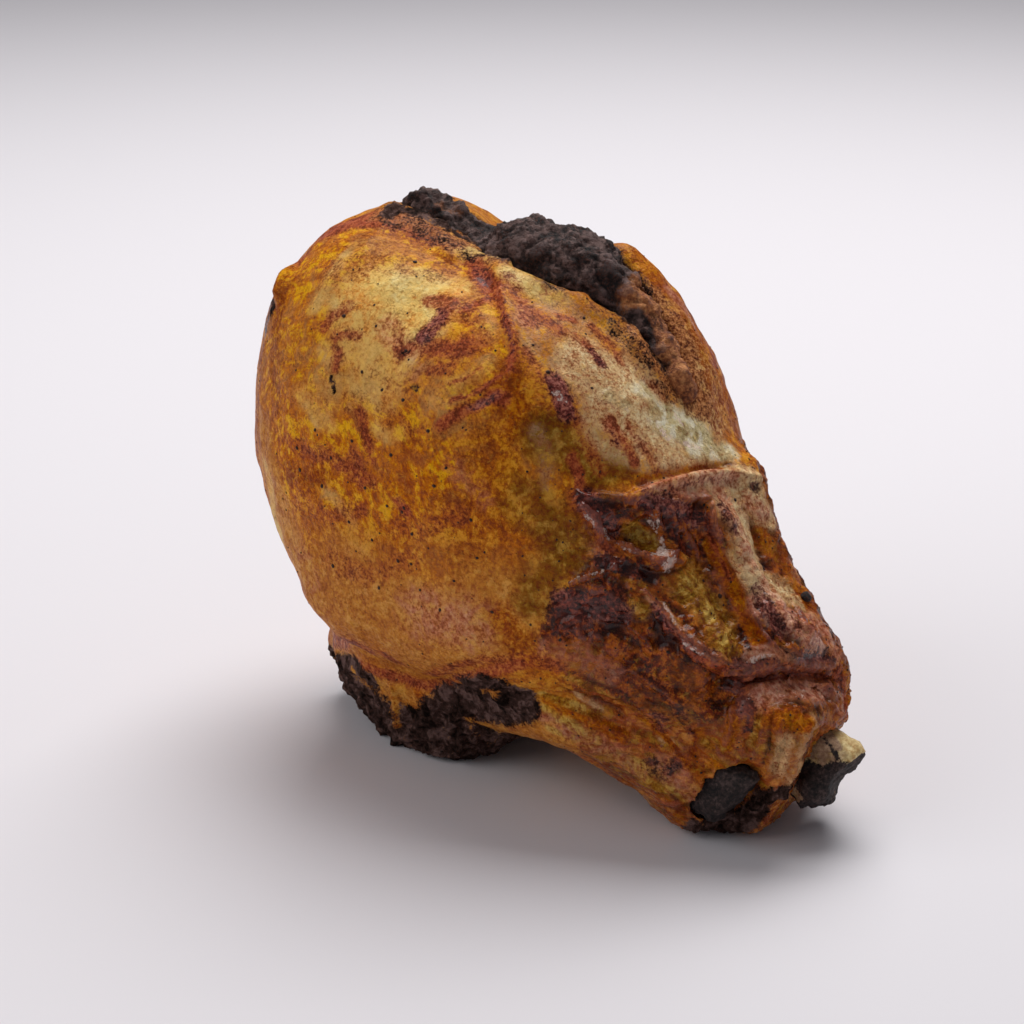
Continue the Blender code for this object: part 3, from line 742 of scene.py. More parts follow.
OLIVE_MARKS = {
    "upper": (9, 0.9, ((550, 440), (580, 445), (606, 462))),
    "middle": (9, 0.75, ((530, 500), (550, 520), (565, 550))),
    "lower": (8, 0.8, ((545, 570), (540, 600))),
    "under the lip": (2.4, 0.95, ((503, 264), (525, 276), (545, 288))),
    "by the tail": (3.5, 0.7, ((700, 400), (715, 420))),
    "under the glassy fat": (3.0, 0.7, ((668, 446), (682, 450), (694, 456))),
    "left of the glassy fat": (3.0, 0.5, ((596, 400), (604, 420))),
}
skin_marks = (PALE_MARKS, GOLD_MARKS, TAN_MARKS, AMBER_MARKS, OLIVE_MARKS)
print(sum(len(marks) for marks in skin_marks), "marks lie on the skin")

# %% Marks of bare fat and rosy meat
PINK_MARKS = {
    "knuckle": (4.4, 1.0, ((762, 700), (784, 691), (814, 694))),
    # A painted highlight on the hood.
    "hood's light": (2.2, 0.8, ((748, 656), (764, 652), (782, 654))),
    "right of the ridge": (4.0, 0.75, ((728, 500), (742, 530), (752, 560))),
    "by the strip": (3.6, 0.9, ((768, 584), (784, 608), (800, 628))),
    "bar's top": (4.2, 0.4, ((548, 650), (580, 660), (612, 674))),
    "low on the bar": (4.5, 0.45, ((548, 722), (600, 748), (640, 772))),
    "end of the bar": (4.2, 0.5, ((664, 768), (684, 788), (698, 800))),
    "left of the broad blotch": (5.0, 0.4, ((388, 328), (402, 350), (412, 368))),
    "middle of the bulge": (4.0, 0.3, ((452, 466), (462, 478), (474, 484), (484, 498))),
    "by the edge strip": (3.4, 0.6, ((750, 500), (764, 512))),
    "folds by the strip": (3.6, 0.9, ((756, 606), (776, 618), (800, 632), (820, 650))),
    "on the top fold": (3.0, 0.85, ((646, 488), (680, 481), (710, 478), (734, 480))),
    "hood's right": (3.2, 0.9, ((812, 618), (828, 636), (838, 656))),
    "outer back rim": (3.4, 0.5, ((672, 290), (686, 312), (698, 338), (708, 362))),
    "below the top fold": (3.2, 0.7, ((660, 498), (684, 492), (706, 490), (722, 494))),
    "lower bulge": (10.0, 0.5, ((420, 612), (470, 626))),
    "by the seam": (3.0, 0.6, ((520, 300), (526, 322))),
    # A painted highlight along the membrane's edge.
    "edge of the membrane": (1.3, 0.9, ((650, 598), (666, 612), (680, 632), (700, 648), (722, 660))),
    "left of the pit": (2.2, 0.5, ((596, 545), (606, 556))),
    "low left": (5.0, 0.3, ((300, 540), (312, 580))),
}
RIB_FAT_MARKS = {
    "along the bar": (2.2, 1.0, ((546, 710), (570, 726), (597, 742), (625, 757), (653, 771), (684, 800))),
    "upper streak on the bar": (1.8, 0.9, ((542, 694), (570, 704), (600, 716))),
    "scraps": (1.6, 1.0, ((733, 714), (730, 732), (724, 748))),
    "scraps, left": (1.8, 1.0, ((704, 742), (716, 753), (730, 764))),
    "along the bar, low": (2.0, 1.0, ((622, 760), (642, 775), (664, 792))),
    "along the bar, up": (1.6, 0.7, ((566, 676), (600, 690), (634, 708))),
    "column's top": (1.8, 0.8, ((760, 716), (756, 730), (752, 744))),
    "along the arch": (1.6, 0.8, ((548, 728), (584, 744), (612, 756))),
    "fat on the rib": (7.0, 1.0, ((688, 588), (706, 612), (724, 640))),
    "fat on the rib, up": (3.4, 0.6, ((686, 562), (700, 582))),
    "beside the edge": (3.6, 0.8, ((624, 604), (642, 612))),
    "pit": (3.4, 0.95, ((632, 530), (650, 544))),
}
GLASSY_MARKS = {
    "glassy fat": (6.0, 1.0, ((664, 418), (686, 430), (702, 440))),
    "below it": (3.4, 0.8, ((690, 448), (712, 452), (732, 452))),
    "over the seam": (2.4, 0.6, ((610, 395), (625, 405))),
}
FAT_MARKS = {
    "by the seam": (5, 0.4, ((512, 285), (522, 310), (532, 345))),
    "upper": (10, 0.36, ((550, 305), (575, 325), (608, 340))),
    "upper, left": (8, 0.3, ((530, 330), (545, 355), (560, 365))),
    "middle": (11, 1.0, ((585, 362), (612, 380), (635, 390))),
    "lower": (8, 1.0, ((605, 408), (640, 425), (672, 436))),
    "white": (6.0, 1.0, ((630, 380), (645, 392), (660, 412))),
    "glassy": (6.0, 1.0, ((672, 420), (688, 430), (700, 440))),
    "under the lower fat": (4.6, 0.62, ((610, 446), (636, 454), (664, 462))),
    "patch on the amber": (2.6, 0.7, ((586, 412), (590, 432), (600, 445))),
    "over the fold": (4, 0.9, ((660, 460), (690, 455), (725, 450))),
    "on the fold": (4.0, 1.0, ((690, 482), (716, 476), (740, 474), (757, 484))),
    "right of the ridge": (8.5, 1.0, ((728, 496), (740, 520), (750, 545))),
    "right of it, up": (7.0, 0.95, ((748, 488), (762, 512))),
    "beside the ridge": (6.5, 1.0, ((745, 560), (762, 582), (782, 594))),
    "pale line": (1.6, 1.0, ((737, 568), (745, 586), (753, 602))),
    "up by the fold": (5.5, 1.0, ((716, 486), (738, 490), (758, 502), (768, 516))),
    "band to the strip": (4.0, 1.0, ((740, 556), (762, 574), (784, 592), (800, 602))),
    "streaks on the amber": (3.0, 0.26, ((537, 432), (545, 452), (548, 484))),
    "column": (4.0, 0.75, ((812, 724), (804, 748), (795, 772), (790, 788))),
    "column, middle": (3.6, 0.8, ((786, 742), (778, 770))),
    "knuckle": (3.0, 0.3, ((768, 700), (790, 694), (808, 698))),
    "hood": (2.6, 0.6, ((752, 655), (772, 652), (790, 655))),
    # A painted highlight along the membrane's edge.
    "edge of the membrane": (1.5, 0.8, ((648, 596), (664, 609), (678, 630), (700, 648))),
    "low fleck": (1.6, 0.8, ((576, 694), (592, 703), (600, 709))),
    "bar fleck": (1.4, 0.7, ((660, 738), (672, 742))),
}
ORANGE_MARKS = {
    "back rim": (3.4, 0.95, ((600, 236), (625, 248), (648, 268), (668, 292))),
    "back rim, lower": (
        4.6, 1.0,
        ((676, 296), (690, 316), (702, 340), (712, 366), (724, 392), (738, 430), (746, 448)),
    ),
    "streak along the bar's top": (1.6, 0.9, ((534, 716), (560, 712), (588, 716), (616, 730))),
    "wall of the ridge": (3.4, 1.0, ((712, 545), (728, 575), (744, 612), (756, 640))),
    "patch by the edge": (4.4, 1.0, ((762, 538), (778, 552), (794, 572))),
    "strip by the edge": (3.4, 1.0, ((800, 588), (818, 618), (832, 646), (842, 676), (848, 704))),
    "over the column": (4, 0.95, ((765, 715), (785, 718), (805, 722))),
    "hood's side": (4.6, 1.0, ((838, 668), (845, 690), (846, 712))),
    "line over the fold": (1.7, 0.9, ((670, 476), (700, 468), (722, 466))),
    "arch": (2.6, 0.7, ((480, 738), (510, 738), (545, 744))),
    "streak by the foot": (1.7, 0.95, ((392, 686), (396, 708), (398, 728))),
    "on foot B": (2.2, 0.7, ((415, 690), (425, 700))),
    "fat on the bar": (2.4, 0.9, ((546, 700), (572, 712), (600, 724), (625, 736))),
    "streak on the bar": (1.9, 0.85, ((622, 762), (640, 776), (660, 790))),
    "scrap": (2.2, 1.0, ((735, 710), (732, 728), (726, 746))),
    "scrap 2": (2.4, 0.95, ((704, 742), (714, 752), (720, 765))),
    "streaks on the bar": (1.4, 0.9, ((560, 726), (590, 742), (612, 752))),
    "streaks on the bar 2": (1.4, 0.8, ((600, 742), (628, 758), (650, 778), (668, 800))),
    "streaks on the bar 3": (1.2, 0.8, ((640, 716), (668, 740), (688, 764))),
    "tip of the bar": (2.0, 0.7, ((676, 820), (690, 800), (712, 784))),
}
fat_marks = (PINK_MARKS, RIB_FAT_MARKS, GLASSY_MARKS, FAT_MARKS, ORANGE_MARKS)
print(sum(len(marks) for marks in fat_marks), "marks of fat and rosy meat")

# %% Marks of the membrane and the lean bar, with painted shade and painted highlights
MEMBRANE_MARKS = {
    "upper": (7, 1.0, ((585, 505), (610, 530), (640, 520), (680, 510))),
    "middle": (8, 1.0, ((600, 560), (630, 585), (670, 575), (700, 560))),
    "dark, lower": (7, 1.0, ((575, 605), (600, 615), (560, 635))),
    # A painted shadow over the bar, in the membrane's colour.
    "bar's shadow": (6, 0.9, ((590, 660), (620, 680), (650, 700))),
    "hood": (5, 0.9, ((770, 650), (800, 660), (825, 670))),
}
TOASTED_MARKS = {
    "near side of the tail": (5.0, 0.88, ((620, 304), (638, 332), (655, 362), (672, 388))),
    "tail's end": (5.5, 1.0, ((672, 384), (688, 400), (702, 404))),
    "far side of the tail": (4.4, 0.9, ((652, 296), (670, 322), (684, 350), (694, 380))),
    "left hump": (5.0, 0.8, ((380, 214), (410, 218), (440, 230))),
    "before the char": (5.0, 0.8, ((450, 236), (475, 246), (500, 262))),
    "below the near lip": (3.0, 0.6, ((590, 304), (612, 312), (630, 330))),
}
ROAST_MARKS = {
    "upper bar": (5.0, 0.6, ((560, 655), (590, 655))),
    "bar's end": (5.0, 1.0, ((660, 790), (685, 795), (700, 780))),
    "middle of the bar": (7.0, 1.0, ((600, 705), (640, 730), (665, 760))),
    "under the pit": (3.4, 0.7, ((630, 575), (650, 585), (668, 582))),
}
MAUVE_MARKS = {
    "long blotch": (3.0, 0.85, ((440, 314), (433, 330), (424, 338))),
    "by the seam": (2.4, 0.6, ((478, 268), (486, 282))),
    "seam": (1.3, 0.7, ((504, 305), (512, 335), (514, 352))),
    "arcs by the amber": (1.6, 0.8, ((498, 396), (488, 402), (470, 408))),
    "spot on the fat": (3.2, 1.0, ((554, 380), (562, 396), (567, 412))),
    "streak on the fat": (1.4, 0.7, ((592, 350), (604, 366))),
    "low on the fat": (1.6, 0.5, ((612, 432), (620, 446))),
    "top fold": (2.2, 0.3, ((655, 492), (680, 486), (705, 482), (728, 478))),
    "upper membrane": (3.6, 0.95, ((588, 500), (600, 512), (610, 530))),
    "upper membrane, right": (3.4, 0.9, ((645, 500), (668, 506), (694, 518))),
    "below the pit": (2.6, 0.7, ((600, 560), (625, 566), (645, 572))),
    "dark corner": (5.0, 0.9, ((566, 602), (592, 608), (620, 612))),
    "right of the ridge": (2.4, 0.6, ((722, 505), (735, 530))),
    "band right of the ridge": (3.0, 0.8, ((758, 590), (768, 612), (780, 632))),
    "hood folds": (2.2, 0.35, ((782, 604), (796, 624), (808, 638))),
    "membrane's edge": (1.8, 0.85, ((655, 606), (672, 626), (690, 642), (712, 654))),
    "hem": (1.8, 0.9, ((730, 662), (752, 665), (776, 659), (804, 657), (830, 661))),
    # A painted highlight on the char of foot B.
    "gloss by foot B": (2.6, 0.6, ((424, 742), (436, 752))),
}
# Dark red-brown of the membrane, and painted shade under the top fold, the rim and the hem, beside the pit,
# below the membrane's edge, in the recess, at the foot of the ridge's wall and in the bar's upper shadow.
MAROON_AND_SHADE_MARKS = {
    "dark cluster": (2.6, 0.7, ((694, 510), (706, 520), (716, 534))),
    "upper membrane": (3.2, 0.9, ((582, 500), (598, 512), (610, 530))),
    "under the top fold": (1.6, 0.25, ((636, 500), (664, 494), (696, 492))),
    "beside the pit": (2.4, 0.9, ((668, 520), (676, 536), (686, 552))),
    "under the rim": (2.2, 0.9, ((604, 560), (630, 570), (655, 578))),
    "dark corner": (5.0, 0.95, ((560, 614), (585, 606), (615, 600))),
    "dark corner, low": (2.6, 0.8, ((556, 628), (590, 630), (612, 626))),
    "below the membrane's edge": (2.0, 0.75, ((652, 618), (672, 642), (694, 662), (716, 674))),
    "recess": (3.2, 1.0, ((730, 684), (742, 694), (748, 710))),
    "under the hem": (1.5, 1.0, ((728, 676), (750, 677), (772, 672), (796, 668), (830, 672))),
    "foot of the ridge's wall": (1.2, 0.75, ((700, 548), (716, 580), (734, 616), (748, 648))),
    "hood": (2.4, 0.5, ((768, 636), (788, 652), (815, 652))),
    "hood's right": (2.2, 0.6, ((826, 652), (836, 670), (842, 690))),
    "knuckle's left": (1.6, 0.8, ((752, 702), (752, 716), (748, 730))),
    "bar's upper shadow": (2.4, 0.6, ((646, 672), (672, 700), (690, 730))),
    "rim, upper left": (2.6, 0.75, ((300, 254), (284, 274), (274, 300), (266, 332))),
    "column's right": (2.4, 0.75, ((808, 742), (802, 764), (792, 786))),
}
# Painted highlights: pale strokes where the folds, rims and glassy fat catch the light. The same mask adds
# coat.
GLINT_MARKS = {
    "rim of the pit": (0.9, 0.9, ((616, 543), (630, 551), (648, 557), (664, 559))),
    "brightest": (1.9, 1.0, ((662, 552), (668, 560), (668, 567))),
    "pit's far rim": (0.8, 0.7, ((650, 520), (658, 534), (664, 546))),
    "upper crinkle": (0.8, 0.9, ((644, 500), (655, 510), (661, 522))),
    "second crinkle": (0.7, 0.7, ((648, 512), (657, 526))),
    "left crinkles": (0.9, 0.6, ((586, 514), (600, 528), (608, 540))),
    "lower crinkle": (0.8, 0.8, ((574, 581), (588, 578), (604, 572))),
    "membrane's edge": (0.9, 0.95, ((650, 597), (664, 608), (674, 624))),
    "membrane's edge, lower": (0.9, 0.8, ((686, 640), (700, 650), (718, 658))),
    "hood": (0.9, 0.6, ((752, 660), (762, 655), (772, 653))),
    "knuckle crest": (0.9, 0.6, ((758, 701), (772, 686), (794, 682), (818, 690))),
    "mauve glint": (0.8, 0.9, ((556, 392), (564, 402))),
    "on the glassy fat": (1.0, 0.7, ((658, 424), (668, 438))),
    "on the glassy fat 2": (0.9, 0.6, ((684, 444), (698, 449))),
    "on the glassy fat 3": (0.8, 0.6, ((674, 414), (682, 426))),
}
dark_marks = (MEMBRANE_MARKS, TOASTED_MARKS, ROAST_MARKS, MAUVE_MARKS, MAROON_AND_SHADE_MARKS, GLINT_MARKS)
print(sum(len(marks) for marks in dark_marks), "marks of membrane, lean meat and gloss")

# %% [markdown]
# ### Regions that run round the chop
#
# The marks cover the side in the picture. The regions have to hold all round: the rib end that the
# membrane wraps, and the crest of fat beside the mouth. Each has a border along the chop and one up it,
# and noise shifts both on the far side, where a straight border would look drawn.

# %% Where each region of the chop begins
BORDER_WAVE = 9.0          # how far noise shifts the borders on the far side
FAR_SIDE_START = 2.0       # the far side begins at this depth
FAR_SIDE_FADE = 8.0
RIB_END_START = 22.0       # the rib end lies beyond this length
RIB_END_FADE = 9.0
RIB_END_CEILING = 75.0
CEILING_FADE = 5.0
FAT_CREST_START = 6.0      # the fat crest lies beyond this length and above this height
FAT_CREST_FADE = 12.0
FAT_CREST_FLOOR = 72.0
FLOOR_FADE = 6.0
FAR_FAT = 0.72             # the fat mask's strength on the crest
FAR_FAT_START = -6.0
FAR_FAT_FADE = 10.0
FAT_THINS_START = 10.0     # beyond this depth the fat thins to half
FAT_THINS_FADE = 8.0
ORANGE_ALL_OVER = 0.12
FAR_ORANGE = 0.5
FAR_ORANGE_START = 4.0
FAR_ORANGE_FADE = 8.0

shift = BORDER_WAVE * unsettled * smooth((y - FAR_SIDE_START) / FAR_SIDE_FADE)
rib_end = smooth((x - RIB_END_START + shift) / RIB_END_FADE)
rib_end *= smooth((RIB_END_CEILING - z + shift) / CEILING_FADE)
fat_crest = smooth((x - FAT_CREST_START + shift) / FAT_CREST_FADE)
fat_crest *= smooth((z - FAT_CREST_FLOOR + shift) / FLOOR_FADE)
far_fat = FAR_FAT * fat_crest * smooth((y - FAR_FAT_START) / FAR_FAT_FADE)
far_fat *= 1 - 0.5 * smooth((y - FAT_THINS_START) / FAT_THINS_FADE)
far_orange = FAR_ORANGE * fat_crest * smooth((y - FAR_ORANGE_START) / FAR_ORANGE_FADE)
far_orange += ORANGE_ALL_OVER
wrapped_away = away & (rib_end > 0.4)
middle_away = away & (rib_end > 0.6)
print("the membrane covers", round(float((rib_end > 0.5).mean()) * 100, 1), "% of the points")

# %% Strokes laid over the regions
PALE_ON_TOP = 0.25
PALE_ABOVE = 60.0
PALE_FADE = 30.0
GOLD_ALL_OVER = 0.3
TAN_LOW_DOWN = 0.75
TAN_BELOW = 46.0
TAN_FADE = 26.0
AMBER_ALL_OVER = 0.15
OLIVE_AT_RIBS = 0.2
MEMBRANE_AT_RIBS = 0.85
ROAST_AT_RIBS = 0.95
ROAST_BELOW = 34.0
ROAST_FADE = 12.0

pale = laid(PALE_ON_TOP * smooth((z - PALE_ABOVE) / PALE_FADE), PALE_MARKS)
gold = laid(GOLD_ALL_OVER, GOLD_MARKS)
tan = laid(TAN_LOW_DOWN * smooth((TAN_BELOW - z) / TAN_FADE), TAN_MARKS)
amber = laid(AMBER_ALL_OVER, AMBER_MARKS)
olive = laid(OLIVE_AT_RIBS * rib_end, OLIVE_MARKS)
pink = laid(0.0, PINK_MARKS)
rib_fat = laid(0.0, RIB_FAT_MARKS)
glassy = laid(0.0, GLASSY_MARKS)
fat = laid(far_fat, FAT_MARKS)
orange = laid(far_orange, ORANGE_MARKS)
membrane = laid(MEMBRANE_AT_RIBS * rib_end, MEMBRANE_MARKS)
roast = laid(ROAST_AT_RIBS * rib_end * smooth((ROAST_BELOW - z) / ROAST_FADE), ROAST_MARKS)
maroon_and_shade = laid(0.0, MAROON_AND_SHADE_MARKS)
mauve = laid(0.0, MAUVE_MARKS)
glint = laid(0.0, GLINT_MARKS)
print("pale skin covers", round(float((pale > 0.5).mean()) * 100, 1), "% of the points")

# %% Blotches where the camera doesn't see
scattered(pale, away, count=30, reach=11.0, strength=0.85, seed=7)
scattered(gold, away, count=30, reach=14.0, strength=0.9, seed=8)
scattered(amber, away & (x > -20), count=14, reach=8.0, strength=0.8, seed=9)
scattered(olive, away & (x > 10), count=16, reach=7.0, strength=0.8, seed=10)
scattered(pink, away, count=26, reach=6.0, strength=0.8, seed=19)
scattered(rib_fat, middle_away, count=8, reach=5.0, strength=0.9, seed=17)
scattered(glassy, away & (x > 20), count=8, reach=4.0, strength=0.8, seed=18)
scattered(fat, away & (x > 26), count=14, reach=5.0, strength=0.8, seed=11)
scattered(orange, away & (x > 20), count=14, reach=4.0, strength=0.8, seed=12)
scattered(maroon_and_shade, wrapped_away, count=16, reach=4.5, strength=0.9, seed=16)
scattered(mauve, wrapped_away, count=14, reach=4.0, strength=0.8, seed=14)
scattered(mauve, away, count=16, reach=3.0, strength=0.7, seed=15)
# Painted highlights strewn over the far end.
scattered(glint, middle_away & (y > 4), count=14, reach=1.4, strength=0.5, seed=13)
toasted = laid(0.8 * tail_lip, TOASTED_MARKS) * (1 - 0.8 * weigh(pink, 0.2, 0.7))
print("cream fat covers", round(float((fat > 0.5).mean()) * 100, 1), "% of the points")

# %% [markdown]
# ## Crags, crests, fibres and dimples
#
# Each kind of surface is uneven in its own way: coarse crags where the meat charred, sharp crests on the
# dried membrane, long fibres on the bar of lean meat under it, and shallow dimples and ripples on the
# skin. They are real relief in the mesh, made from fractal noise and weighted by the masks, so they
# follow the finishes exactly. Kinds that overlap read the noise at places of their own, so that no two
# of them agree.

# %% Relief from noise
CRAG_GRAIN = 3.8
CRAG_HEIGHT = 2.0
CREST_GRAIN = 3.4
CREST_HEIGHT = 1.5
FIBRE_GRAIN = 2.0
FIBRE_HEIGHT = 0.8
FIBRE_STRETCH = (0.28, 1.0, 1.0)
DIMPLE_GRAIN = 9.0
DIMPLE_HEIGHT = 0.5
RIPPLE_GRAIN = 3.6
RIPPLE_HEIGHT = 0.22
NOISE_MEDIAN = 0.42
CREST_OFFSET = 40.0        # millimetres from the crags' place in the noise
FIBRE_OFFSET = 70.0
RIPPLE_OFFSET = 90.0
BAR_BELOW = 44.0
BAR_FADE = 8.0
LEAST_HEIGHT = 0.02        # nothing goes through the table


def crags(points, grain, octaves):
    """Noise about zero with sharp valleys, for burnt surfaces."""
    return np.array([noise.turbulence(Vector(p) / grain, octaves, True) for p in points]) - NOISE_MEDIAN


def crests(points, grain, octaves):
    """Noise about zero with sharp ridges, for a membrane that the heat has drawn up."""
    return -crags(points, grain, octaves)


def swells(points, grain, octaves):
    """Soft noise about zero."""
    return np.array([noise.fractal(Vector(p) / grain, 1.0, LACUNARITY, octaves) for p in points])


def roughened(points, weight, height, pattern, grain, octaves, stretch=(1.0, 1.0, 1.0)):
    """The relief that a noise pattern gives where its weight isn't zero."""
    some = np.flatnonzero(weight > 0.02)
    relief = np.zeros(len(points))
    relief[some] = weight[some] * height * pattern(points[some] * stretch, grain, octaves)
    return relief


burnt = weigh(char, 0.3, 0.75)
plain = 1 - burnt
in_the_bar = smooth((BAR_BELOW - z) / BAR_FADE)
drawn = weigh(membrane, 0.4, 0.9) * plain * (1 - 0.75 * in_the_bar)
drawn *= (1 - 0.85 * weigh(orange, 0.3, 0.8)) * (1 - 0.5 * weigh(fat, 0.4, 0.9))
fibrous = rib_end * in_the_bar * plain
relief = roughened(place, burnt, CRAG_HEIGHT, crags, CRAG_GRAIN, octaves=4)
relief += roughened(place + CREST_OFFSET, drawn, CREST_HEIGHT, crests, CREST_GRAIN, octaves=3)
relief += roughened(place + FIBRE_OFFSET, fibrous, FIBRE_HEIGHT, crests, FIBRE_GRAIN, 3, FIBRE_STRETCH)
relief += roughened(place, plain, DIMPLE_HEIGHT, swells, DIMPLE_GRAIN, octaves=2)
relief += roughened(place + RIPPLE_OFFSET, plain, RIPPLE_HEIGHT, swells, RIPPLE_GRAIN, octaves=2)
shaped = points_of(meat) + normals_of(meat) * relief[:, None]
shaped[:, 2] = np.maximum(shaped[:, 2], LEAST_HEIGHT)
set_points(meat, shaped)
raised = np.sum((shaped - unfolded) * outward, axis=1)
print("relief from", relief.min().round(2), "to", relief.max().round(2), "mm")

# %% [markdown]
# ## What the material will read
#
# A material can't measure how far a point was raised, or how it lies round the eye of the meat. Both are
# worked out here and kept with the mesh, beside the masks. The ring coordinate lets the skin's streaks
# run round the bulge, as its fibres do.

# %% Storing the masks with the mesh
MASKS = {
    "char": char, "browned_and_shade": browned_and_shade, "pale": pale, "gold": gold, "tan": tan, "amber": amber,
    "olive": olive, "fat": fat, "orange": orange, "membrane": membrane, "roast": roast,
    "mauve": mauve, "maroon_and_shade": maroon_and_shade, "toasted": toasted, "pink": pink, "rib_fat": rib_fat,
    "glassy": glassy, "glint": glint, "raised": raised, "wrapped": rib_end,
}
EYE_MIDDLE = (-32.0, 62.0)     # along the chop and up
RING_SIZE = 12.0


def store(piece, masks):
    """Keeps each mask as a point attribute that a material can read."""
    for name, mask in masks.items():
        attribute = piece.data.attributes.new(name, "FLOAT", "POINT")
        attribute.data.foreach_set("value", mask.astype(np.float32))


store(meat, MASKS)
from_middle = np.hypot(x - EYE_MIDDLE[0], z - EYE_MIDDLE[1])
turned = np.arctan2(z - EYE_MIDDLE[1], x - EYE_MIDDLE[0])
rings = np.stack([from_middle + y, RING_SIZE * np.cos(turned), RING_SIZE * np.sin(turned)], axis=1)
ring_attribute = meat.data.attributes.new("around", "FLOAT_VECTOR", "POINT")
ring_attribute.data.foreach_set("vector", rings.astype(np.float32).ravel())
print(len(MASKS), "masks are kept with the meat")

# %% [markdown]
# ## The stuffing and the bones
#
# The stuffing shows only its burnt top, so its crags stay near the mouth. They are as high as those of
# the charred meat, with fine grit over them. A sawn rib is smooth outside and porous at its end; the
# heat blackened its lower tip.

# %% Relief of the stuffing
STUFFING_CRAG_GRAIN = 4.2
STUFFING_CRAG_HEIGHT = 1.9
STUFFING_GRIT_GRAIN = 1.5
STUFFING_GRIT_HEIGHT = 0.55
GRIT_OFFSET = 30.0
HUMP_SHOWS_ABOVE = 86.0
HUMP_FADE = 10.0
TAIL_SHOWS_ABOVE = 76.0     # the tail of the stuffing reaches lower at its far end
TAIL_SHOWS_BEYOND = 18.0
CALM_BEYOND = 22.0          # beyond this length the crags are half as high
CRUST_FADE = 6.0

top = points_of(stuffing)
along, up = top[:, 0], top[:, 2]
hump = smooth((up - HUMP_SHOWS_ABOVE) / HUMP_FADE)
tail = smooth((along - TAIL_SHOWS_BEYOND) / CRUST_FADE) * smooth((up - TAIL_SHOWS_ABOVE) / CRUST_FADE)
showing = np.maximum(hump, tail)
on_tail = 1 - 0.5 * smooth((along - CALM_BEYOND) / CRUST_FADE)
crust_rise = roughened(top, showing * on_tail, STUFFING_CRAG_HEIGHT, crags, STUFFING_CRAG_GRAIN, 4)
crust_rise += roughened(top + GRIT_OFFSET, showing, STUFFING_GRIT_HEIGHT, crags, STUFFING_GRIT_GRAIN, 2)
set_points(stuffing, top + normals_of(stuffing) * crust_rise[:, None])
print("the stuffing's crags reach", round(float(points_of(stuffing)[:, 2].max()), 1), "mm up")

# %% Where the stuffing is toasted and not black
TOAST_MARKS = {
    "tail": (7.0, 1.0, ((640, 300), (652, 318), (668, 345), (684, 372))),
    "tail's rim": (4.0, 0.9, ((640, 280), (665, 305), (690, 350))),
    "hump": (2.6, 0.5, ((440, 204), (458, 212))),
}
TAIL_CHAR_MARKS = {
    "dark spot": (3.0, 1.0, ((636, 318), (644, 328), (650, 342))),
    "tail's end": (2.4, 0.8, ((668, 366), (682, 384))),
}
TOAST_ALL_OVER = 0.12
TOAST_ON_TAIL = 0.9
TOAST_BEYOND = 20.0
TOAST_FADE = 9.0

toast = TOAST_ON_TAIL * smooth((along - TOAST_BEYOND) / TOAST_FADE) + TOAST_ALL_OVER
toast = laid(toast, TOAST_MARKS, stuffing_surface, top)
toast *= 1 - laid(0.0, TAIL_CHAR_MARKS, stuffing_surface, top)
store(stuffing, {"toast": toast, "raised": crust_rise})
print("a share of", round(float((toast > 0.5).mean()), 2), "of the stuffing is toasted")

# %% Relief and masks of the bones
BONE_GRAIN = 2.6
BONE_HEIGHT = 0.32
BONE_CRAG_HEIGHT = 0.9
BONE_PORE_GRAIN = 0.9
BONE_PORE_HEIGHT = 0.12
BACK_BURNT_BELOW = 10.0
FRONT_BURNT_BELOW = 40.0     # all of it
BURNT_FADE = 4.0
BURNT_STRENGTH = 0.9
BURNT_UNDERSIDE = 0.15       # how far down a face looks before it is burnt
UNDERSIDE_FADE = 0.35

BONE_MARKS = {
    "cream": (5.0, 1.0, ((838, 724), (850, 738), (860, 752))),
    "cream, lower": (3.0, 0.7, ((845, 756), (856, 760))),
}
BONE_CHAR_MARKS = {
    "tip": (6.0, 1.0, ((808, 780), (825, 786), (845, 776))),
    "edge": (3.4, 1.0, ((830, 774), (848, 768), (864, 760))),
    "marrow": (2.0, 0.3, ((812, 748), (820, 758), (826, 766))),
    "marrow's rim": (1.0, 0.7, ((824, 738), (832, 748), (838, 758))),
}
BONE_LUMPS = {
    "burnt lump under the bone": (2.4, 2.6, ((812, 786), (824, 794), (836, 786))),
    "burnt tip": (0.8, 1.6, ((852, 768), (862, 762))),
}
for rib, cream_marks, char_marks, lumps, burnt_below in (
    (back_rib, BONE_MARKS, BONE_CHAR_MARKS, BONE_LUMPS, BACK_BURNT_BELOW),
    (front_rib, {}, {}, {}, FRONT_BURNT_BELOW),
):
    bone_surface = surface_of(rib)
    press(rib, bone_surface, lumps)
    bone = points_of(rib)
    outside = normals_of(rib)
    scorched = np.maximum(
        BURNT_STRENGTH * smooth((burnt_below - bone[:, 2]) / BURNT_FADE),
        smooth((-outside[:, 2] - BURNT_UNDERSIDE) / UNDERSIDE_FADE),
    )
    bone_rise = BONE_HEIGHT * swells(bone, BONE_GRAIN, octaves=2)
    bone_rise += BONE_PORE_HEIGHT * crags(bone, BONE_PORE_GRAIN, octaves=2)
    bone_rise += roughened(bone, scorched, BONE_CRAG_HEIGHT, crags, BONE_GRAIN, octaves=3)
    set_points(rib, bone + outside * bone_rise[:, None])
    cream = laid(0.35, cream_marks, bone_surface, bone)
    store(rib, {"cream": cream, "char": laid(scorched, char_marks, bone_surface, bone)})
    print(rib.name, "is burnt over a share of", round(float((scorched > 0.5).mean()), 2))

# %% [markdown]
# ## Pepper grains and burnt crumbs
#
# A grain of ground pepper is a broken chip. One chip is modelled as a small ball whose points are
# shaken, then flattened. Copies of it lie where the picture shows them, and more are strewn over the
# whole skin by a seeded draw. A few larger burnt crumbs stick out from the meat.

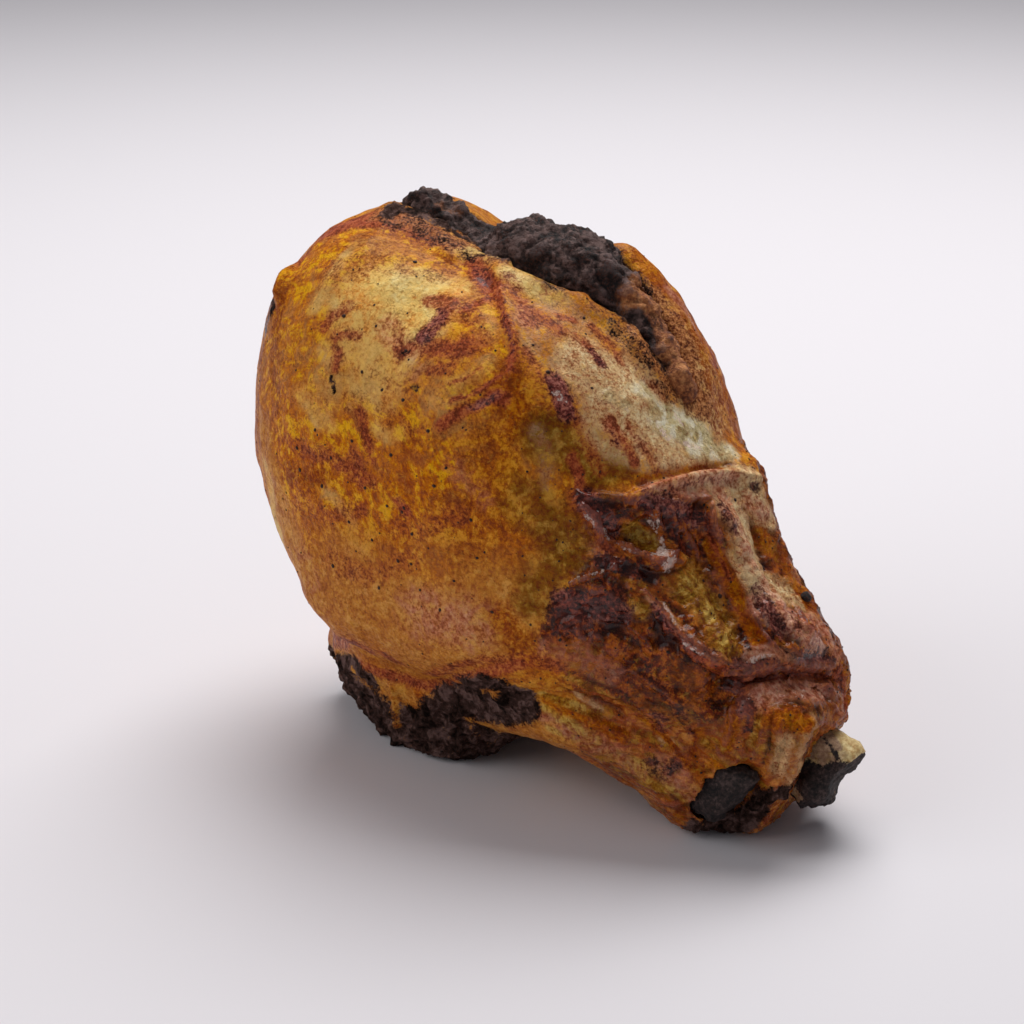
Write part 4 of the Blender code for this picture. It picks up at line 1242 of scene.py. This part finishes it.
# %% One chip, and many copies of it
CHIP_SHAKEN = 0.12           # a share of the chip's width
CHIP_SHAPE = (1.0, 0.8, 0.6)


def chip(name, width, seed):
    """A shaken, flattened ball, as wide as given in millimetres."""
    bpy.ops.mesh.primitive_ico_sphere_add(subdivisions=2, radius=width / 2 * MM)
    piece = bpy.context.object
    piece.name = name
    bpy.ops.object.mode_set(mode="EDIT")
    bpy.ops.mesh.select_all(action="SELECT")
    bpy.ops.transform.vertex_random(offset=width * CHIP_SHAKEN * MM, uniform=0.0, normal=0.0, seed=seed)
    bpy.ops.transform.resize(value=CHIP_SHAPE)
    bpy.ops.object.mode_set(mode="OBJECT")
    bpy.ops.object.shade_smooth()
    return piece


def strew(template, name, places, normals, sizes, seed):
    """One mesh of many turned copies of a template, half sunk at the given places."""
    turn_draw = np.random.default_rng(seed)
    shape = points_of(template)
    corners = np.array([face.vertices for face in template.data.polygons])
    points, chip_faces = [], []
    for spot, facing_out, size in zip(places, normals, sizes):
        tilt = Vector((0, 0, 1)).rotation_difference(Vector(facing_out)).to_matrix()
        turned_chip = np.array(tilt @ Matrix.Rotation(turn_draw.uniform(0, 2 * math.pi), 3, "Z"))
        chip_faces.append(corners + len(points) * len(shape))
        points.append(shape * size @ turned_chip.T + spot)
    mesh = bpy.data.meshes.new(name)
    mesh.from_pydata(np.vstack(points) * MM, [], np.vstack(chip_faces).tolist())
    piece = bpy.data.objects.new(name, mesh)
    bpy.context.scene.collection.objects.link(piece)
    only(piece)
    bpy.ops.object.shade_smooth()
    bpy.data.objects.remove(template)
    return piece


finished_skin = surface_of(meat)


def on_skin(path):
    """Places and normals where the camera sees the finished skin."""
    hits = [finished_skin.ray_cast(camera.location, sight_line(x, y))[:2] for x, y in path]
    hits = [hit for hit in hits if hit[0] is not None]
    return np.array([hit[0] / MM for hit in hits]), np.array([hit[1] for hit in hits])


# %% Pepper where the picture shows it, and more all round
PEPPER_SPOTS = (
    (297, 448), (315, 430), (403, 400), (382, 390), (406, 351), (387, 506), (402, 512), (404, 508),
    (477, 558), (454, 581), (412, 534), (411, 564), (434, 486), (300, 470), (322, 486), (331, 458),
    (352, 441), (365, 488), (349, 522), (372, 540), (333, 566), (420, 590), (391, 455), (428, 431),
    (446, 468), (471, 520), (362, 372), (344, 316), (376, 326), (415, 262), (533, 345), (584, 318),
    (592, 388), (548, 372), (720, 596), (704, 505), (735, 500), (742, 640), (650, 628), (668, 652),
    (560, 640), (492, 612), (398, 561), (440, 610), (379, 588),
)
PEPPER_WIDTH = 0.85
PEPPER_STREWN = 860
PEPPER_SEED = 21
CHIP_SEED = 4
TURN_SEED = 22
NAMED_SIZES = (0.8, 1.2)     # shares of the chip's width
STREWN_SIZES = (0.3, 0.7)
PEPPER_ABOVE = 16.0

pepper_draw = np.random.default_rng(PEPPER_SEED)
named_places, named_normals = on_skin(PEPPER_SPOTS)
clean = np.flatnonzero((char < 0.2) & (z > PEPPER_ABOVE) & ((fat < 0.5) | away))
chosen = pepper_draw.choice(clean, PEPPER_STREWN)
all_places = np.vstack([named_places, points_of(meat)[chosen]])
all_normals = np.vstack([named_normals, normals_of(meat)[chosen]])
named_sizes = pepper_draw.uniform(*NAMED_SIZES, len(named_places))
sizes = np.concatenate([named_sizes, pepper_draw.uniform(*STREWN_SIZES, PEPPER_STREWN)])
pepper_chip = chip("pepper_chip", PEPPER_WIDTH, CHIP_SEED)
pepper = strew(pepper_chip, "pepper_grains", all_places, all_normals, sizes, TURN_SEED)
print(len(all_places), "pepper grains lie on the skin")

# %% Burnt crumbs
CRUMB_SPOTS = ((806, 597), (441, 752))
CRUMB_SIZES = (1.35, 0.35)
CRUMB_WIDTH = 2.3
CRUMB_SEED = 6
CRUMB_TURN_SEED = 23

crumb_places, crumb_normals = on_skin(CRUMB_SPOTS)
crumb_chip = chip("crumb_chip", CRUMB_WIDTH, CRUMB_SEED)
crumbs = strew(crumb_chip, "burnt_crumbs", crumb_places, crumb_normals, CRUMB_SIZES, CRUMB_TURN_SEED)
print(len(crumb_places), "burnt crumbs lie on it")

# %% [markdown]
# ## Shader maths that reads like arithmetic
#
# A material is a tree of nodes. Written link by link, even "one minus the mask" takes three lines. So a
# small class wraps a socket, and its operators add the Math nodes. Every other node comes from one
# method that takes the node's type, its settings, and the values or links of its sockets.

# %% Wires and finishes
class Wire:
    """An output socket. Arithmetic on it adds Math nodes to its material."""

    def __init__(self, finish, socket):
        self.finish = finish
        self.socket = socket

    def maths(self, operation, first, second):
        return self.finish.node("Math", {"operation": operation}, {0: first, 1: second})

    def __add__(self, other):
        return self.maths("ADD", self, other)

    def __sub__(self, other):
        return self.maths("SUBTRACT", self, other)

    def __rsub__(self, other):
        return self.maths("SUBTRACT", other, self)

    def __mul__(self, other):
        return self.maths("MULTIPLY", self, other)

    __radd__ = __add__
    __rmul__ = __mul__


class Finish:
    """A material whose nodes are added one by one."""

    def __init__(self, name):
        self.material = bpy.data.materials.new(name)
        self.material.use_nodes = True
        self.tree = self.material.node_tree
        self.tree.nodes.clear()
        here = self.node("TexCoord", out="Object")
        self.place = self.node("VectorMath", {"operation": "SCALE"}, {0: here, "Scale": 1 / MM})

    def node(self, kind, settings=None, sockets=None, out=0):
        """Adds a node and gives one of its outputs."""
        made = self.tree.nodes.new("ShaderNode" + kind)
        for name, value in (settings or {}).items():
            setattr(made, name, value)
        for key, value in (sockets or {}).items():
            if isinstance(value, Wire):
                self.tree.links.new(value.socket, made.inputs[key])
            else:
                made.inputs[key].default_value = value
        return Wire(self, made.outputs[out])

    def mask(self, name):
        """A mask that is kept with the mesh."""
        return self.node("Attribute", {"attribute_name": name}, out="Fac")

    def grain(self, size, detail=3.0, roughness=0.55, place=None, distortion=0.0, kind="FBM"):
        """Noise with blotches about as wide as the size, in millimetres."""
        sockets = {"Vector": place or self.place, "Scale": 1 / size, "Detail": detail}
        sockets.update({"Roughness": roughness, "Distortion": distortion})
        return self.node("TexNoise", {"noise_type": kind}, sockets)

    def step(self, value, low, high):
        """An eased step from 0 at low to 1 at high."""
        sockets = {"Value": value, "From Min": low, "From Max": high}
        return self.node("MapRange", {"interpolation_type": "SMOOTHSTEP"}, sockets)

    def broken(self, mask, ragged, amount=0.55, soft=0.38):
        """A mask whose edge is broken up by noise and fades out over some way."""
        here = self.step(mask, 0.0, 0.35) * amount
        return self.step(mask + (ragged - 0.5) * here, 0.5 - soft, 0.5 + soft)

    def wash(self, mask, ragged, amount=0.5):
        """A mask that fades out over its whole reach, as a glaze does."""
        here = self.step(mask, 0.0, 0.3) * amount
        return self.step(mask + (ragged - 0.5) * here, 0.0, 1.0)

    def spread(self, pattern):
        """A noise pattern stretched to the whole range from 0 to 1."""
        return self.step(pattern, 0.3, 0.7)

    def mix(self, share, under, over):
        """One colour over another."""
        return self.node("Mix", {"data_type": "RGBA"}, {0: share, 6: under, 7: over}, out=2)

    def blend(self, pattern, first, second, third, width=0.36):
        """Three colours, one after another, over a pattern's range. A smaller width parts them more."""
        lower = self.mix(self.step(pattern, 0.5 - width, 0.52), first, second)
        return self.mix(self.step(pattern, 0.48, 0.5 + width), lower, third)

    def stretched(self, place, scale):
        """A place scaled unevenly, so that a pattern on it runs one way."""
        return self.node("VectorMath", {"operation": "MULTIPLY"}, {0: place, 1: scale})

    def close(self, shader):
        """Leads the finished shader to the material's output."""
        end = self.tree.nodes.new("ShaderNodeOutputMaterial")
        self.tree.links.new(shader.socket, end.inputs["Surface"])


def tone(red, green, blue):
    """A screen colour, 0 to 255, as the linear colour that a shader takes."""
    linear = [((c / 255 + 0.055) / 1.055) ** 2.4 if c > 10 else c / 255 / 12.92 for c in (red, green, blue)]
    return (*linear, 1.0)


# %% [markdown]
# ## The colours of a roast
#
# Each finish takes three colours, light, middle and dark, and noise leads from one to the next. They
# are written as screen colours from 0 to 255, as an eyedropper on a picture of a roast would read them,
# and made a little stronger than they look, because the light washes them out.

# %% The colours of skin, fat, membrane and char
SKIN = tone(228, 152, 44), tone(194, 106, 18), tone(146, 64, 14)
PALE = tone(255, 238, 166), tone(255, 214, 122), tone(250, 166, 70)
GOLD = tone(246, 180, 14), tone(208, 112, 0), tone(152, 56, 2)
TAN = tone(222, 158, 78), tone(204, 130, 50), tone(184, 106, 44)
AMBER = tone(198, 116, 10), tone(160, 74, 5), tone(118, 46, 5)
OLIVE = tone(180, 138, 62), tone(138, 90, 20), tone(94, 48, 8)
FAT = tone(252, 230, 178), tone(228, 184, 130), tone(186, 124, 82)
GREY_FAT = tone(236, 222, 180)
GLASSY = tone(255, 248, 218), tone(224, 208, 156), tone(156, 140, 92)
RIB_FAT = tone(222, 184, 92), tone(170, 120, 30), tone(112, 62, 12)
PINK = tone(240, 188, 160), tone(214, 138, 110), tone(162, 86, 62)
ORANGE = tone(206, 124, 20), tone(170, 84, 12), tone(124, 46, 8)
MAHOGANY = tone(178, 86, 28), tone(116, 38, 16), tone(42, 14, 14)
ROAST = tone(214, 132, 56), tone(162, 74, 24), tone(92, 34, 12)
RED_BROWN = tone(190, 98, 66), tone(160, 68, 44), tone(100, 36, 24)
MAUVE = tone(176, 108, 96), tone(118, 54, 50), tone(52, 20, 22)
# Dark red-brown, also laid as painted shade
MAROON_AND_SHADE = tone(132, 54, 38), tone(84, 28, 20), tone(46, 15, 14)
TOASTED = tone(214, 144, 88), tone(170, 102, 58), tone(94, 48, 32)
CHAR = tone(116, 90, 84), tone(68, 48, 43), tone(24, 16, 15)
# Painted shade for the valleys of the skin's crinkles, and a painted highlight for their tops
CRINKLE_SHADE = tone(138, 50, 8)
CRINKLE_HIGHLIGHT = tone(252, 198, 76)
BLUSH = tone(206, 112, 38)
YELLOW = tone(204, 142, 44)
SHINE = tone(255, 226, 210)
# Ash grey, partly a painted highlight on the stuffing's crag tops
ASH_AND_HIGHLIGHT = tone(118, 96, 93)

# %% [markdown]
# ## Roasted meat: the grain of the noise
#
# Browning follows pores, fibres and wrinkles, which all have their own size. So noise of five sizes is
# made once, and every layer of colour picks from it. Three more kinds are drawn out: one runs in rings
# round the bulge and two run lengthwise, as the lean meat's fibres do on the bar under the ribs.

# %% Noise of several sizes
meat_finish = Finish("roasted_meat")
f = meat_finish
wide = f.spread(f.grain(9.0, 3.0))
wander = f.spread(f.grain(5.0, 4.0, 0.6, None, 1.2))
medium = f.spread(f.grain(3.2, 4.0, 0.6))
fine = f.spread(f.grain(1.1, 4.0, 0.65))
speckle = f.spread(f.grain(0.55, 3.0, 0.7))
ring_place = f.node("Attribute", {"attribute_name": "around"}, out="Vector")
streaks = f.spread(f.grain(1.0, 3.0, 0.55, f.stretched(ring_place, (0.55, 0.45, 0.45)), 0.9))
lengthwise = f.stretched(f.place, (0.24, 1.0, 1.0))
strands = f.spread(f.grain(1.5, 4.0, 0.6, lengthwise, 0.4))
broad_strands = f.spread(f.grain(3.6, 3.0, 0.6, lengthwise, 0.6))
ragged = wide * 0.2 + medium * 0.35 + fine * 0.27 + speckle * 0.18
mottle = wander * 0.3 + medium * 0.25 + fine * 0.25 + speckle * 0.1 + streaks * 0.1
patchy = medium * 0.4 + fine * 0.35 + speckle * 0.25
print("the noise takes", len(f.tree.nodes), "nodes")

# %% [markdown]
# ### Skin and fat
#
# The colour is laid as a cook would describe it: golden skin, then what lies over it. Each layer's edge
# is broken up by noise, because browning never ends in a clean line. A weight on each noise says how
# much it counts.

# %% The meat's skin
skin = f.blend(mottle, *SKIN, 0.26)
gold_tone = f.blend(wander * 0.4 + streaks * 0.25 + medium * 0.15 + fine * 0.2, *GOLD, 0.26)
skin = f.mix(f.wash(f.mask("gold"), ragged), skin, gold_tone)
tan_tone = f.blend(streaks * 0.2 + fine * 0.35 + wander * 0.45, *TAN, 0.3)
skin = f.mix(f.wash(f.mask("tan"), ragged), skin, tan_tone)
pale_here = f.step(f.mask("pale") + (wander * 0.5 + medium * 0.3 + fine * 0.2 - 0.5) * 0.6, 0.02, 1.2)
skin = f.mix(pale_here, skin, f.blend(wide * 0.35 + mottle * 0.65, *PALE, 0.34))
skin = f.mix(f.wash(f.mask("amber"), ragged, 0.8), skin, f.blend(mottle, *AMBER, 0.22))
olive_here = f.wash(f.mask("olive"), wide * 0.5 + medium * 0.5, 0.9)
skin = f.mix(olive_here, skin, f.blend(medium * 0.5 + fine * 0.3 + wide * 0.2, *OLIVE, 0.3))
print("with the skin,", len(f.tree.nodes), "nodes")

# %% The meat's fat
fat_here = f.wash(f.mask("fat"), medium * 0.4 + fine * 0.35 + speckle * 0.25, 1.0)
fat_tone = f.blend(wander * 0.4 + fine * 0.35 + speckle * 0.25, *FAT, 0.34)
fat_tone = f.mix(f.step(wide, 0.6, 0.95) * 0.25, fat_tone, GREY_FAT)
skin = f.mix(fat_here, skin, fat_tone)
glassy_here = f.wash(f.mask("glassy"), medium * 0.5 + fine * 0.5, 0.8)
skin = f.mix(glassy_here * 0.9, skin, f.blend(wander * 0.5 + medium * 0.5, *GLASSY, 0.3))
yellow_fat = f.wash(f.mask("rib_fat"), medium * 0.5 + fine * 0.5, 0.9)
skin = f.mix(yellow_fat, skin, f.blend(wander * 0.6 + fine * 0.4, *RIB_FAT, 0.3))
print("with the fat,", len(f.tree.nodes), "nodes")

# %% [markdown]
# ### Membrane and the bar of lean meat
#
# The membrane is a thin, see-through skin that dried to mahogany. It leaves the fat free. Under it the
# bar of lean meat is fibrous, with yellow fat and pink meat between its strands.

# %% The meat's membrane and bar
open_fat = (1 - fat_here) * (1 - olive_here) * (1 - yellow_fat)
cover = f.broken(f.mask("membrane"), ragged, 0.7, 0.3) * open_fat
skin = f.mix(cover, skin, f.blend(wander * 0.5 + fine * 0.5, *MAHOGANY, 0.22))
roasted = f.broken(f.mask("roast"), ragged) * (1 - fat_here) * (1 - yellow_fat * 0.85)
skin = f.mix(roasted, skin, f.blend(strands * 0.3 + medium * 0.3 + broad_strands * 0.4, *ROAST, 0.24))
yellow_strands = f.step(broad_strands * 0.7 + medium * 0.3, 0.52, 0.86) * roasted
skin = f.mix(yellow_strands * 0.75, skin, YELLOW)
pink_strands = f.step(wander * 0.6 + strands * 0.4, 0.56, 0.86) * roasted
skin = f.mix(pink_strands * 0.5, skin, RED_BROWN[0])
orange_here = f.broken(f.mask("orange"), ragged, 0.8, 0.24) * (1 - yellow_fat * 0.85)
skin = f.mix(orange_here, skin, f.blend(mottle, *ORANGE, 0.24))
rosy = f.wash(f.mask("pink"), wander * 0.4 + medium * 0.3 + fine * 0.3, 1.0)
skin = f.mix(rosy * 0.8, skin, f.blend(medium * 0.4 + fine * 0.6, *PINK, 0.3))
print("with the membrane and the bar,", len(f.tree.nodes), "nodes")

# %% [markdown]
# ### Browning
#
# Over all of it lies a net of fine wrinkles, with painted shade in their valleys and a painted
# highlight on their tops. Then the skin browned: flecks, then the red-brown blotches with an orange
# blush round them. Some red-brown and dark red-brown marks are painted shade in creases and recesses.
# In the membrane, painted shade darkens the hollows and painted light brightens the crests.

# %% The meat's browning, with painted shade and painted highlights
wrinkle = f.grain(2.6, 4.0, 0.6, None, 0.5, "RIDGED_MULTIFRACTAL")
crinkle = f.grain(1.3, 4.0, 0.68, None, 0.8)
browned_and_shade_here = f.mask("browned_and_shade")
# Painted shade where the crinkle bump is low, and a painted highlight where it is high.
skin = f.mix(f.step(crinkle, 0.5, 0.28) * 0.34 * (1 - f.mask("pale") * 0.6), skin, CRINKLE_SHADE)
skin = f.mix(f.step(crinkle, 0.52, 0.74) * 0.26, skin, CRINKLE_HIGHLIGHT)
flecks = f.step(fine * 0.45 + speckle * 0.55 + (browned_and_shade_here - 0.5) * 0.5, 0.5, 0.85)
skin = f.mix(flecks * 0.3 * (1 - f.mask("pale") * 0.85), skin, RED_BROWN[1])
blushing = f.step(browned_and_shade_here + (medium - 0.5) * 0.5, 0.15, 0.85) * (1 - pale_here * 0.7)
skin = f.mix(blushing * 0.55, skin, BLUSH)
# Red-brown blotches; the marks in creases and recesses are painted shade.
red = f.step(browned_and_shade_here + (patchy - 0.5) * 0.8, 0.26, 0.92)
skin = f.mix(red * 0.9, skin, f.blend(fine * 0.5 + medium * 0.3 + speckle * 0.2, *RED_BROWN, 0.3))
lilac = f.broken(f.mask("mauve"), patchy, 1.0, 0.34)
skin = f.mix(lilac * 0.9, skin, f.blend(wander * 0.3 + fine * 0.5 + speckle * 0.2, *MAUVE, 0.26))
# Dark red-brown, partly painted shade under folds and the hem and in the recess.
dark_red_and_shade = f.broken(f.mask("maroon_and_shade"), patchy, 0.9, 0.34)
skin = f.mix(dark_red_and_shade * 0.92, skin, f.blend(wander * 0.3 + fine * 0.7, *MAROON_AND_SHADE, 0.26))
print("with the browning,", len(f.tree.nodes), "nodes")

# %% Painted shade in the membrane's hollows, painted light on its crests, and painted highlights
wrapped = f.mask("wrapped")
bare = open_fat * (1 - rosy * 0.8) * 0.85 + 0.15
# Painted shade: the membrane's darkest colour where the surface was pressed in.
painted_hollow_shade = f.step(f.mask("raised") + (fine - 0.5) * 0.3, 0.05, -0.75)
skin = f.mix(painted_hollow_shade * 0.85 * f.step(wrapped, 0.0, 0.6) * bare, skin, MAHOGANY[2])
# Painted light: pale mauve on the crests, where the surface was raised.
standing = f.step(f.mask("raised") + (fine - 0.5) * 0.5, 0.35, 1.2)
painted_crest_light = standing * 0.45 * f.step(wrapped, 0.2, 0.8) * bare * (1 - f.mask("orange") * 0.8)
skin = f.mix(painted_crest_light, skin, MAUVE[0])
# Painted highlights, in a pale pink-cream colour.
shining = f.broken(f.mask("glint"), fine * 0.5 + speckle * 0.5, 1.3, 0.34)
skin = f.mix(shining * 0.7, skin, SHINE)
print("with the hollows and crests,", len(f.tree.nodes), "nodes")

# %% [markdown]
# ### Spice dust, char and gloss
#
# Fine spice dust browned in dots. Char covers all else, with a burnt halo round it, and is matt where
# the membrane shines. The bump has crinkles and wrinkles, deeper on the membrane and the char.

# %% The meat's dust and char
dust = f.step(f.grain(0.62, 1.0), 0.68, 0.75) * f.step(medium, 0.35, 0.8)
dust = dust * (1 - f.mask("pale") * 0.2)
skin = f.mix(dust * 0.5, skin, RED_BROWN[2])
brown_here = f.broken(f.mask("toasted"), patchy, 1.0, 0.36)
skin = f.mix(brown_here * 0.9, skin, f.blend(fine * 0.5 + speckle * 0.5, *TOASTED))
burnt_here = f.mask("char")
black = f.broken(burnt_here, medium * 0.4 + fine * 0.3 + speckle * 0.3, 0.8, 0.18)
halo = f.broken(burnt_here, ragged, 0.5, 0.4) * (1 - black)
skin = f.mix(halo * 0.75, skin, RED_BROWN[2])
skin = f.mix(black, skin, f.blend(wander * 0.45 + medium * 0.3 + fine * 0.25, *CHAR, 0.28))
print("with the dust and char,", len(f.tree.nodes), "nodes")

# %% The meat's gloss and bump
BUMP_HEIGHT = 0.6 * MM
WARM_SHEEN = (1.0, 0.62, 0.25, 1.0)
gloss = cover * 0.6 + lilac * 0.5 + dark_red_and_shade * 0.6 + f.mask("glint") * 0.8 + wrapped * 0.2 + 0.2
rough = (0.45 + (fine - 0.5) * 0.2 - gloss * 0.18) * (1 - black) + black * 0.75
height = crinkle * (1.2 + wrapped * 0.7 + burnt_here * 0.6) + wrinkle * (0.28 + wrapped * 0.25)
bump = f.node("Bump", {}, {"Strength": 1.0, "Distance": BUMP_HEIGHT, "Height": height})
meat_shader = f.node(
    "BsdfPrincipled",
    {},
    {
        "Base Color": skin,
        "Roughness": rough,
        "Normal": bump,
        "Specular IOR Level": 0.05,
        "Specular Tint": WARM_SHEEN,
        "Coat Weight": gloss * 0.34 * (1 - black) * (1 - f.mask("orange")),
        "Coat Roughness": 0.1,
    },
)
f.close(meat_shader)
print("the meat's finish has", len(f.tree.nodes), "nodes")

# %% [markdown]
# ## Burnt stuffing and bone
#
# The stuffing is a dry, burnt crust with brown patches where bread shows through. Its crag tops are ash
# grey, partly a painted highlight, and painted shade darkens its hollows. Bone is cream outside and
# grey-brown where the marrow cooked, and black at its tip.

# %% The stuffing's finish
crust_finish = Finish("charred_stuffing")
f = crust_finish
crumb = f.spread(f.grain(1.3, 5.0, 0.7))
grit = f.spread(f.grain(0.5, 3.0, 0.7))
patch = f.spread(f.grain(5.0, 4.0, 0.6, None, 0.6))
toasted_here = f.broken(f.mask("toast"), patch * 0.4 + crumb * 0.4 + grit * 0.2, 0.9, 0.24)
crust = f.blend(patch * 0.5 + crumb * 0.5, *CHAR, 0.24)
crust = f.mix(toasted_here, crust, f.blend(patch * 0.3 + crumb * 0.7, *TOASTED))
# Ash grey on the crags' tops, partly a painted highlight.
crust = f.mix(f.step(f.mask("raised") + (crumb - 0.5) * 0.4, 0.25, 0.9) * 0.45, crust, ASH_AND_HIGHLIGHT)
crust = f.mix(f.step(grit, 0.62, 0.8) * f.step(patch, 0.4, 0.7) * 0.5, crust, TOASTED[2])
# Painted shade in the crust's hollows.
crust = f.mix(f.step(f.mask("raised"), 0.0, -0.7) * 0.6, crust, CHAR[2])
crust_height = crumb * 0.5 + grit * 0.25
crust_bump = f.node("Bump", {}, {"Strength": 0.9, "Distance": BUMP_HEIGHT, "Height": crust_height})
crust_look = {"Base Color": crust, "Roughness": 0.7, "Specular IOR Level": 0.3, "Normal": crust_bump}
f.close(f.node("BsdfPrincipled", {}, crust_look))
print("the stuffing's finish has", len(f.tree.nodes), "nodes")

# %% The bones' finish
MARROW = tone(184, 152, 120), tone(150, 118, 92), tone(104, 78, 58)
CREAM_BONE = tone(238, 216, 160), tone(216, 188, 128), tone(188, 146, 88)
BONE_CHAR = tone(78, 62, 58), tone(44, 33, 31), tone(16, 12, 12)
BONE_BUMP_HEIGHT = 0.3 * MM


def bone_finish(name):
    """Cream bone with a grey-brown marrow side and black char."""
    f = Finish(name)
    pores = f.spread(f.grain(0.7, 4.0, 0.7))
    cloud = f.spread(f.grain(3.0, 3.0, 0.6))
    bone_tone = f.blend(cloud * 0.5 + pores * 0.5, *MARROW)
    cream_tone = f.blend(cloud * 0.4 + pores * 0.6, *CREAM_BONE)
    bone_tone = f.mix(f.broken(f.mask("cream"), cloud, 0.5, 0.2), bone_tone, cream_tone)
    burnt_bone = f.broken(f.mask("char"), cloud * 0.5 + pores * 0.5, 0.6, 0.14)
    bone_tone = f.mix(burnt_bone, bone_tone, f.blend(cloud * 0.4 + pores * 0.6, *BONE_CHAR))
    pitted = f.node("Bump", {}, {"Strength": 0.7, "Distance": BONE_BUMP_HEIGHT, "Height": pores * 0.4})
    look = {"Base Color": bone_tone, "Normal": pitted, "Specular IOR Level": 0.3}
    look["Roughness"] = 0.55 + burnt_bone * 0.2
    f.close(f.node("BsdfPrincipled", {}, look))
    return f.material


# %% The pepper's finish, and every piece's material
PEPPER = tone(70, 42, 28), tone(52, 28, 18), tone(30, 18, 14)
pepper_finish = Finish("ground_pepper")
f = pepper_finish
pepper_tone = f.blend(f.spread(f.grain(0.4)), *PEPPER)
pepper_look = {"Base Color": pepper_tone, "Roughness": 0.6, "Specular IOR Level": 0.3}
f.close(f.node("BsdfPrincipled", {}, pepper_look))
for piece, material in (
    (meat, meat_finish.material),
    (stuffing, crust_finish.material),
    (front_rib, bone_finish("charred_bone")),
    (back_rib, bone_finish("roasted_bone")),
    (pepper, pepper_finish.material),
    (crumbs, crust_finish.material),
):
    piece.data.materials.append(material)
    print(piece.name, "is finished with", material.name)

# %% [markdown]
# ## Each piece takes its place
#
# A piece that stands for a solid hides that solid, and every piece rides on the body.

# %% Hiding the solids and putting the pieces on the body
for piece, node, slot in (
    (meat, "chop_meat", "roasted_meat"),
    (stuffing, "stuffing", "charred_stuffing"),
    (front_rib, "rib_bone_front", "charred_bone"),
    (back_rib, "rib_bone_back", "roasted_bone"),
):
    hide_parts(node)
    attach(piece, "root")

for piece, slot in ((pepper, "roasted_meat"), (crumbs, "charred_stuffing")):
    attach(piece, "root")
print("six pieces ride on the body, and four of them stand for its solids")

# %% [markdown]
# ## Table and light
#
# The table is a plain pale sheet, far wider than the view. The light is a large soft lamp above and
# behind, as a window would be, and a weaker one in front, over a pale sky that fills the shadows.

# %% The table
TABLE_SIZE = 9.0
TABLE_TONE = tone(226, 222, 225)
bpy.ops.mesh.primitive_plane_add(size=TABLE_SIZE, location=(0, 0, 0))
table = bpy.context.object
table.name = "table"
table_finish = Finish("pale_table")
table_look = {"Base Color": TABLE_TONE, "Roughness": 0.7, "Specular IOR Level": 0.1}
table_finish.close(table_finish.node("BsdfPrincipled", {}, table_look))
table.data.materials.append(table_finish.material)
table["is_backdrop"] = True
print("the table is", TABLE_SIZE, "metres wide")

# %% Sky and lamps
SKY_TONE = (0.88, 0.88, 0.95, 1)
SKY_STRENGTH = 0.2
# Each lamp: degrees round from the broad side, degrees up, distance and width in metres, watts.
LAMPS = {
    "window": (-155, 64, 1.1, 0.85, 13.2),
    "room": (-30, 34, 1.5, 1.2, 6.3),
}
sky = bpy.data.worlds.new("sky")
sky.use_nodes = True
sky.node_tree.nodes["Background"].inputs["Color"].default_value = SKY_TONE
sky.node_tree.nodes["Background"].inputs["Strength"].default_value = SKY_STRENGTH
bpy.context.scene.world = sky

for name, (degrees_round, degrees_up, distance, width, watts) in LAMPS.items():
    turn, lift = math.radians(degrees_round), math.radians(degrees_up)
    sideways, forward = -math.sin(turn) * math.cos(lift), math.cos(turn) * math.cos(lift)
    from_lamp = Vector((sideways, forward, -math.sin(lift)))
    bpy.ops.object.light_add(type="AREA", location=LOOKED_AT - from_lamp * distance)
    lamp = bpy.context.object
    lamp.name = name
    lamp.rotation_euler = from_lamp.to_track_quat("-Z", "Y").to_euler()
    lamp.data.size = width
    lamp.data.energy = watts
    print(name, "lamp:", watts, "watts")
bpy.context.scene.view_settings.view_transform = "Standard"

# %% [markdown]
# ## The last measure
#
# The finished model's box is measured and printed. The finished model has to stay inside the solids'
# box, give or take a few hundredths.

# %% Sizes
low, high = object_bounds()
print("the model measures", [round(side / MM, 1) for side in high - low], "mm")
